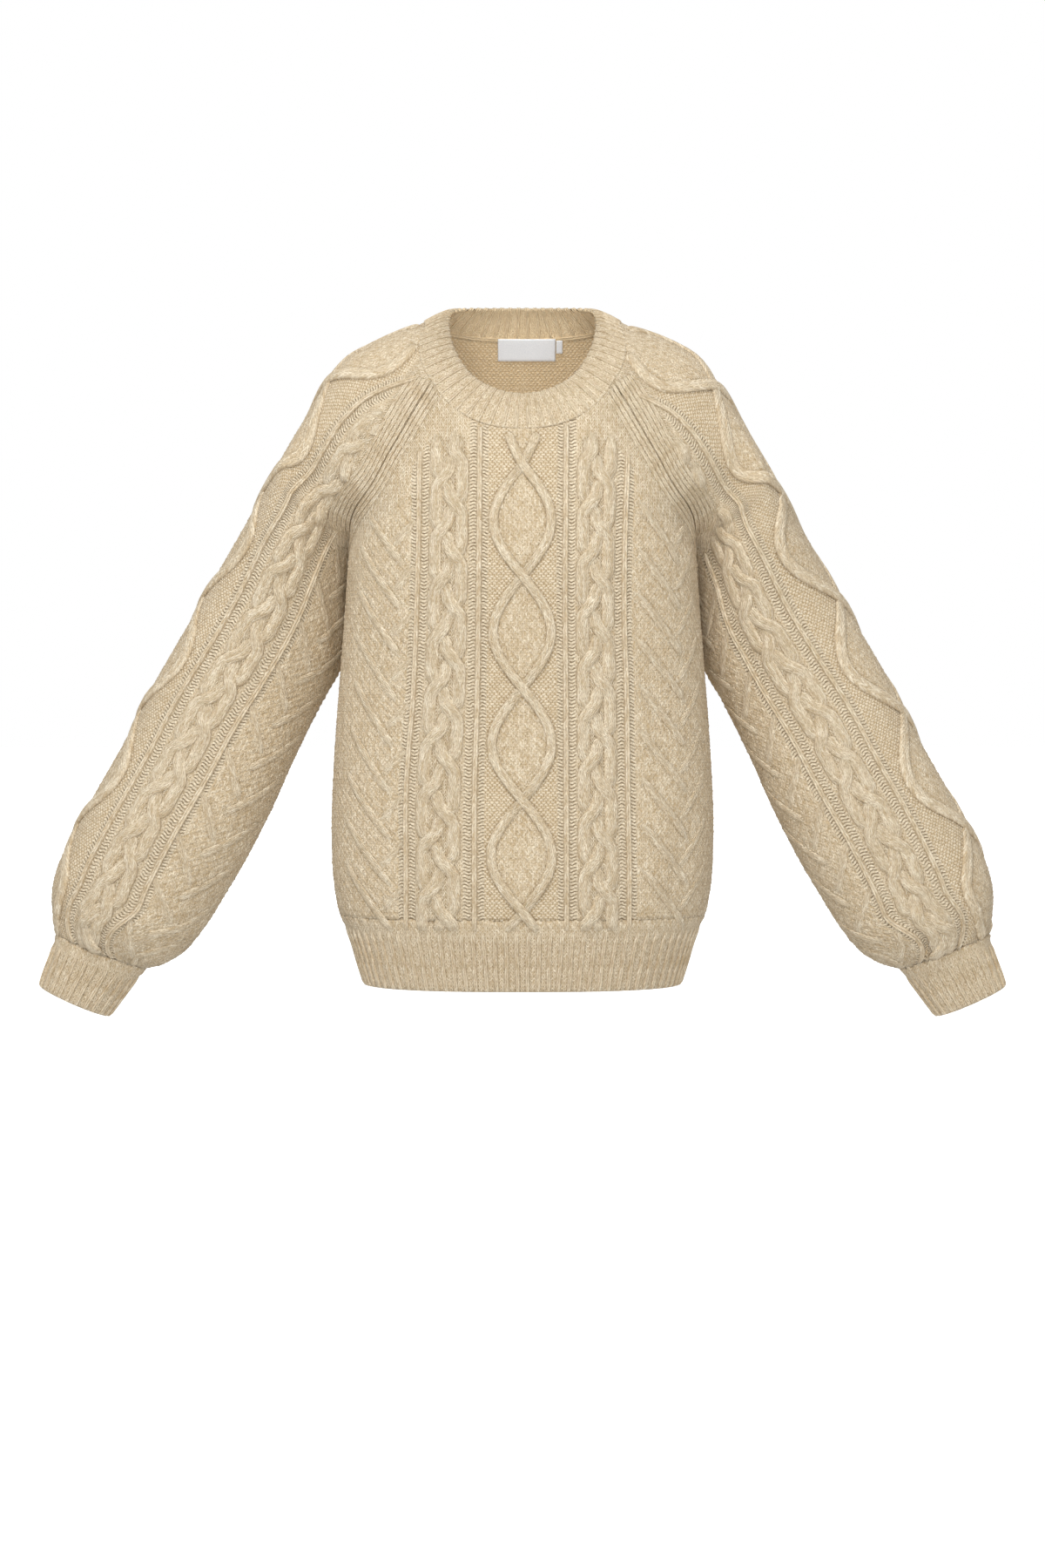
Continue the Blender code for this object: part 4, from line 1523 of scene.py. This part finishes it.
def knit_band(name, raised_name, node, plan, count, short, hand=1.0):
    """A ribbed band; short is how far below its upper edge the ribs end."""
    wales = Wales()
    add_ribs(wales, plan, count, (0.0, short))
    knit_piece(name, raised_name, node, "rib_knit", plan, band_pattern, wales, hand)


ground_wool = wool_material("wool_ground", False)
raised_wool = wool_material("wool_raised", True)
sections = section_objects()
sweep_tree = wale_tree()

SLEEVE_WIDEST = -178.0       # height on the sleeve's crest where a diamond is widest
SLEEVE_CROSSING = 61.0       # from there to the next crossing of the ropes
RIBS = {"hem": 48, "cuff": 24}

sleeve_plan = tube_plan(SLEEVE, list(np.linspace(0, 1, 45)[1:]), INNER, True)
places = sleeve_plan.sheet.along
crest_line = sleeve_plan.sheet.at(np.zeros(len(places)), places, np.zeros(len(places)))[0]
CROSSING["sleeve"] = float(np.interp(SLEEVE_WIDEST, crest_line[:, 2], places)) + SLEEVE_CROSSING

for side in ("front", "back"):
    form = BodyForm(side)
    plan = body_plan(form)
    moved = moved_out if side == "front" else None
    top = plan.heights[-1] + 20.0
    wales = cable_wales(plan, "body", moved, HEM_TOP - GROWN, top, PLAITS[side])
    knit_piece(f"knit_{side}", f"cables_{side}", f"{side}_panel", "cable_knit", plan,
               cable_pattern("body", moved), wales)
    band = band_plan(form, HEM_BOTTOM, HEM_TOP + SEAM, RIB_INNER)
    knit_band(f"hem_{side}", f"hem_ribs_{side}", f"hem_rib_{side}", band, RIBS["hem"], GROWN - 2.0)

for side, hand in (("left", 1.0), ("right", -1.0)):
    turn = turning(side)
    top = sleeve_plan.heights[-1] - 1.0
    wales = cable_wales(sleeve_plan, "sleeve", turn, 1.0, top, PLAITS["sleeve"])
    knit_piece(f"knit_sleeve_{side}", f"cables_sleeve_{side}", f"sleeve_{side}", "cable_knit",
               sleeve_plan, cable_pattern("sleeve", turn), wales, hand)
    cuff = tube_plan(CUFF, [], RIB_INNER, False)
    knit_band(f"knit_cuff_{side}", f"cuff_ribs_{side}", f"cuff_{side}", cuff, RIBS["cuff"],
              GROWN - 3.0, hand)

collar = collar_plan()
wales = Wales()
fold = collar.heights[-1] / 2
add_ribs(wales, collar, int(round(collar.high[0] * 2 / RIB_PITCH)), lift=-0.3, size=0.95, fold=fold)
add_link(wales, collar)
knit_piece("knit_neck", "neck_ribs", "neck_rib", "rib_knit", collar, collar_pattern, wales)

# Woven labels inside the neck, left blank: left, right, low and high edges, and how far each
# stands in from the outer face of the back panel at its low and high edges.
LABELS = {
    "neck_label": (-24.0, 32.0, -5.8, 15.0, 4.4, 6.2),
    "size_tab": (32.4, 38.4, 1.4, 13.4, 4.4, 6.0),
}
LABEL_EDGE = 1.2             # width of a label's rounded edge


def make_label(name, left, right, low, high, low_depth, high_depth):
    """Thin woven label with soft corners, a little bowed."""
    x, height = np.meshgrid(np.linspace(left, right, 29), np.linspace(low, high, 13))
    share = np.abs(x) / read(TORSO, "half_width", height)
    y = read(TORSO, "back", height) * (1 - share ** ROUNDNESS) ** (1 / ROUNDNESS)
    rise = (height - low) / (high - low)
    y = y - low_depth - (high_depth - low_depth) * rise
    y = y - 0.35 * np.sin(np.pi * (x - left) / (right - left)) * (1 - rise)
    pinch = ease(np.minimum(x - left, right - x) / LABEL_EDGE)
    pinch = pinch * ease(np.minimum(height - low, high - height) / LABEL_EDGE)
    middle = np.array([(left + right) / 2, 0.0, (low + high) / 2])
    face = np.stack([x, y, height], axis=-1)
    layers = []
    for way in (-1.0, 1.0):
        layer = face + np.array([0.0, 1.0, 0.0]) * (way * (0.12 + 0.22 * pinch))[..., None]
        corner = (1 - pinch)[..., None] * np.array([0.012, 0.0, 0.02])
        layers.append(layer - (layer - middle) * corner)
    rows, columns = x.shape
    index = np.arange(rows * columns).reshape(rows, columns)
    faces = []
    for shift, turn in ((0, 1), (rows * columns, -1)):
        quad = np.stack([index[:-1, :-1], index[:-1, 1:], index[1:, 1:], index[1:, :-1]], axis=-1) + shift
        faces += [list(corners)[::turn] for corners in quad.reshape(-1, 4).tolist()]
    rim = np.concatenate([index[0, :-1], index[:-1, -1], index[-1, :0:-1], index[:0:-1, 0]]).tolist()
    for first, second in zip(rim, rim[1:] + rim[:1]):
        faces.append([second, first, first + rows * columns, second + rows * columns])
    mesh = bpy.data.meshes.new(name)
    mesh.from_pydata((np.concatenate(layers).reshape(-1, 3) * MM).tolist(), [], faces)
    mesh.polygons.foreach_set("use_smooth", np.ones(len(mesh.polygons), bool))
    return put_in_scene(name, mesh)


woven_white = label_material()
for name, edges in LABELS.items():
    piece = make_label(f"woven_{name}", *edges)
    finish_piece(piece, woven_white, "woven_label", name)
    left, right, low, high = edges[:4]
    width, length = (right - left) * MM, (high - low) * MM
    width * length

for section in sections:
    bpy.data.objects.remove(section, do_unlink=True)

# -------------------------------- camera, light and floor

camera_data = bpy.data.cameras.new("camera")
camera_data.lens = 85.4
camera_data.sensor_width = 36.0
camera_data.shift_y = -0.078
camera = put_in_scene("camera", camera_data)
camera.location = (0.0, -3.5, -0.295)
camera.rotation_euler = (np.pi / 2, 0.0, 0.0)
bpy.context.scene.camera = camera

# Soft square lights: place, aim, size and power.
LIGHTS = {
    "key": ((-0.6, -1.7, 2.2), (0.0, 0.0, -0.3), 1.0, 46.5),
    "fill": ((0.2, -3.3, -0.3), (0.0, 0.0, -0.35), 2.4, 45.0),
    "back": ((0.3, 3.2, 0.6), (0.0, 0.0, -0.3), 1.6, 64.0),
    "neck": ((0.0, -0.03, -0.12), (0.0, 0.1, 0.03), 0.12, 0.07),
}
for name, (place, aim, size, power) in LIGHTS.items():
    data = bpy.data.lights.new(name, "AREA")
    data.shape = "SQUARE"
    data.size = size
    data.energy = power
    lamp = put_in_scene(name, data)
    lamp.location = place
    lamp.rotation_euler = (Vector(aim) - Vector(place)).to_track_quat("-Z", "Y").to_euler()

STUDIO_LIGHT = 0.62          # how bright the studio lights the garment; to the camera it is white
world = bpy.data.worlds.new("studio")
world.use_nodes = True
studio = Nodes(world.node_tree)
background = next(node for node in studio.tree.nodes if node.type == "BACKGROUND")
seen = studio.node("ShaderNodeLightPath").outputs["Is Camera Ray"]
strength = studio.node("ShaderNodeMapRange", Value=seen, To_Min=STUDIO_LIGHT)
studio.give(background.inputs["Color"], (1.0, 1.0, 1.0, 1.0))
studio.give(background.inputs["Strength"], strength.outputs["Result"])
bpy.context.scene.world = world

FLOOR_HALF = 9.0
FLOOR_NEAR = -3.4
FLOOR_FAR = 40.0
FLOOR_HEIGHT = -1.3
floor_mesh = bpy.data.meshes.new("floor")
corners = ((-FLOOR_HALF, FLOOR_NEAR), (FLOOR_HALF, FLOOR_NEAR), (FLOOR_HALF, FLOOR_FAR),
           (-FLOOR_HALF, FLOOR_FAR))
floor_mesh.from_pydata([(x, y, FLOOR_HEIGHT) for x, y in corners], [], [(0, 1, 2, 3)])
floor = put_in_scene("floor", floor_mesh)
pale = Maker("pale_floor")
floor_mesh.materials.append(pale.finish({
    "Base Color": (0.6, 0.6, 0.6, 1.0), "Roughness": 0.8, "Emission Color": (1.0, 1.0, 1.0, 1.0),
    "Emission Strength": pale.node("ShaderNodeLightPath").outputs["Is Camera Ray"],
}))

bpy.context.scene.view_settings.view_transform = "Standard"
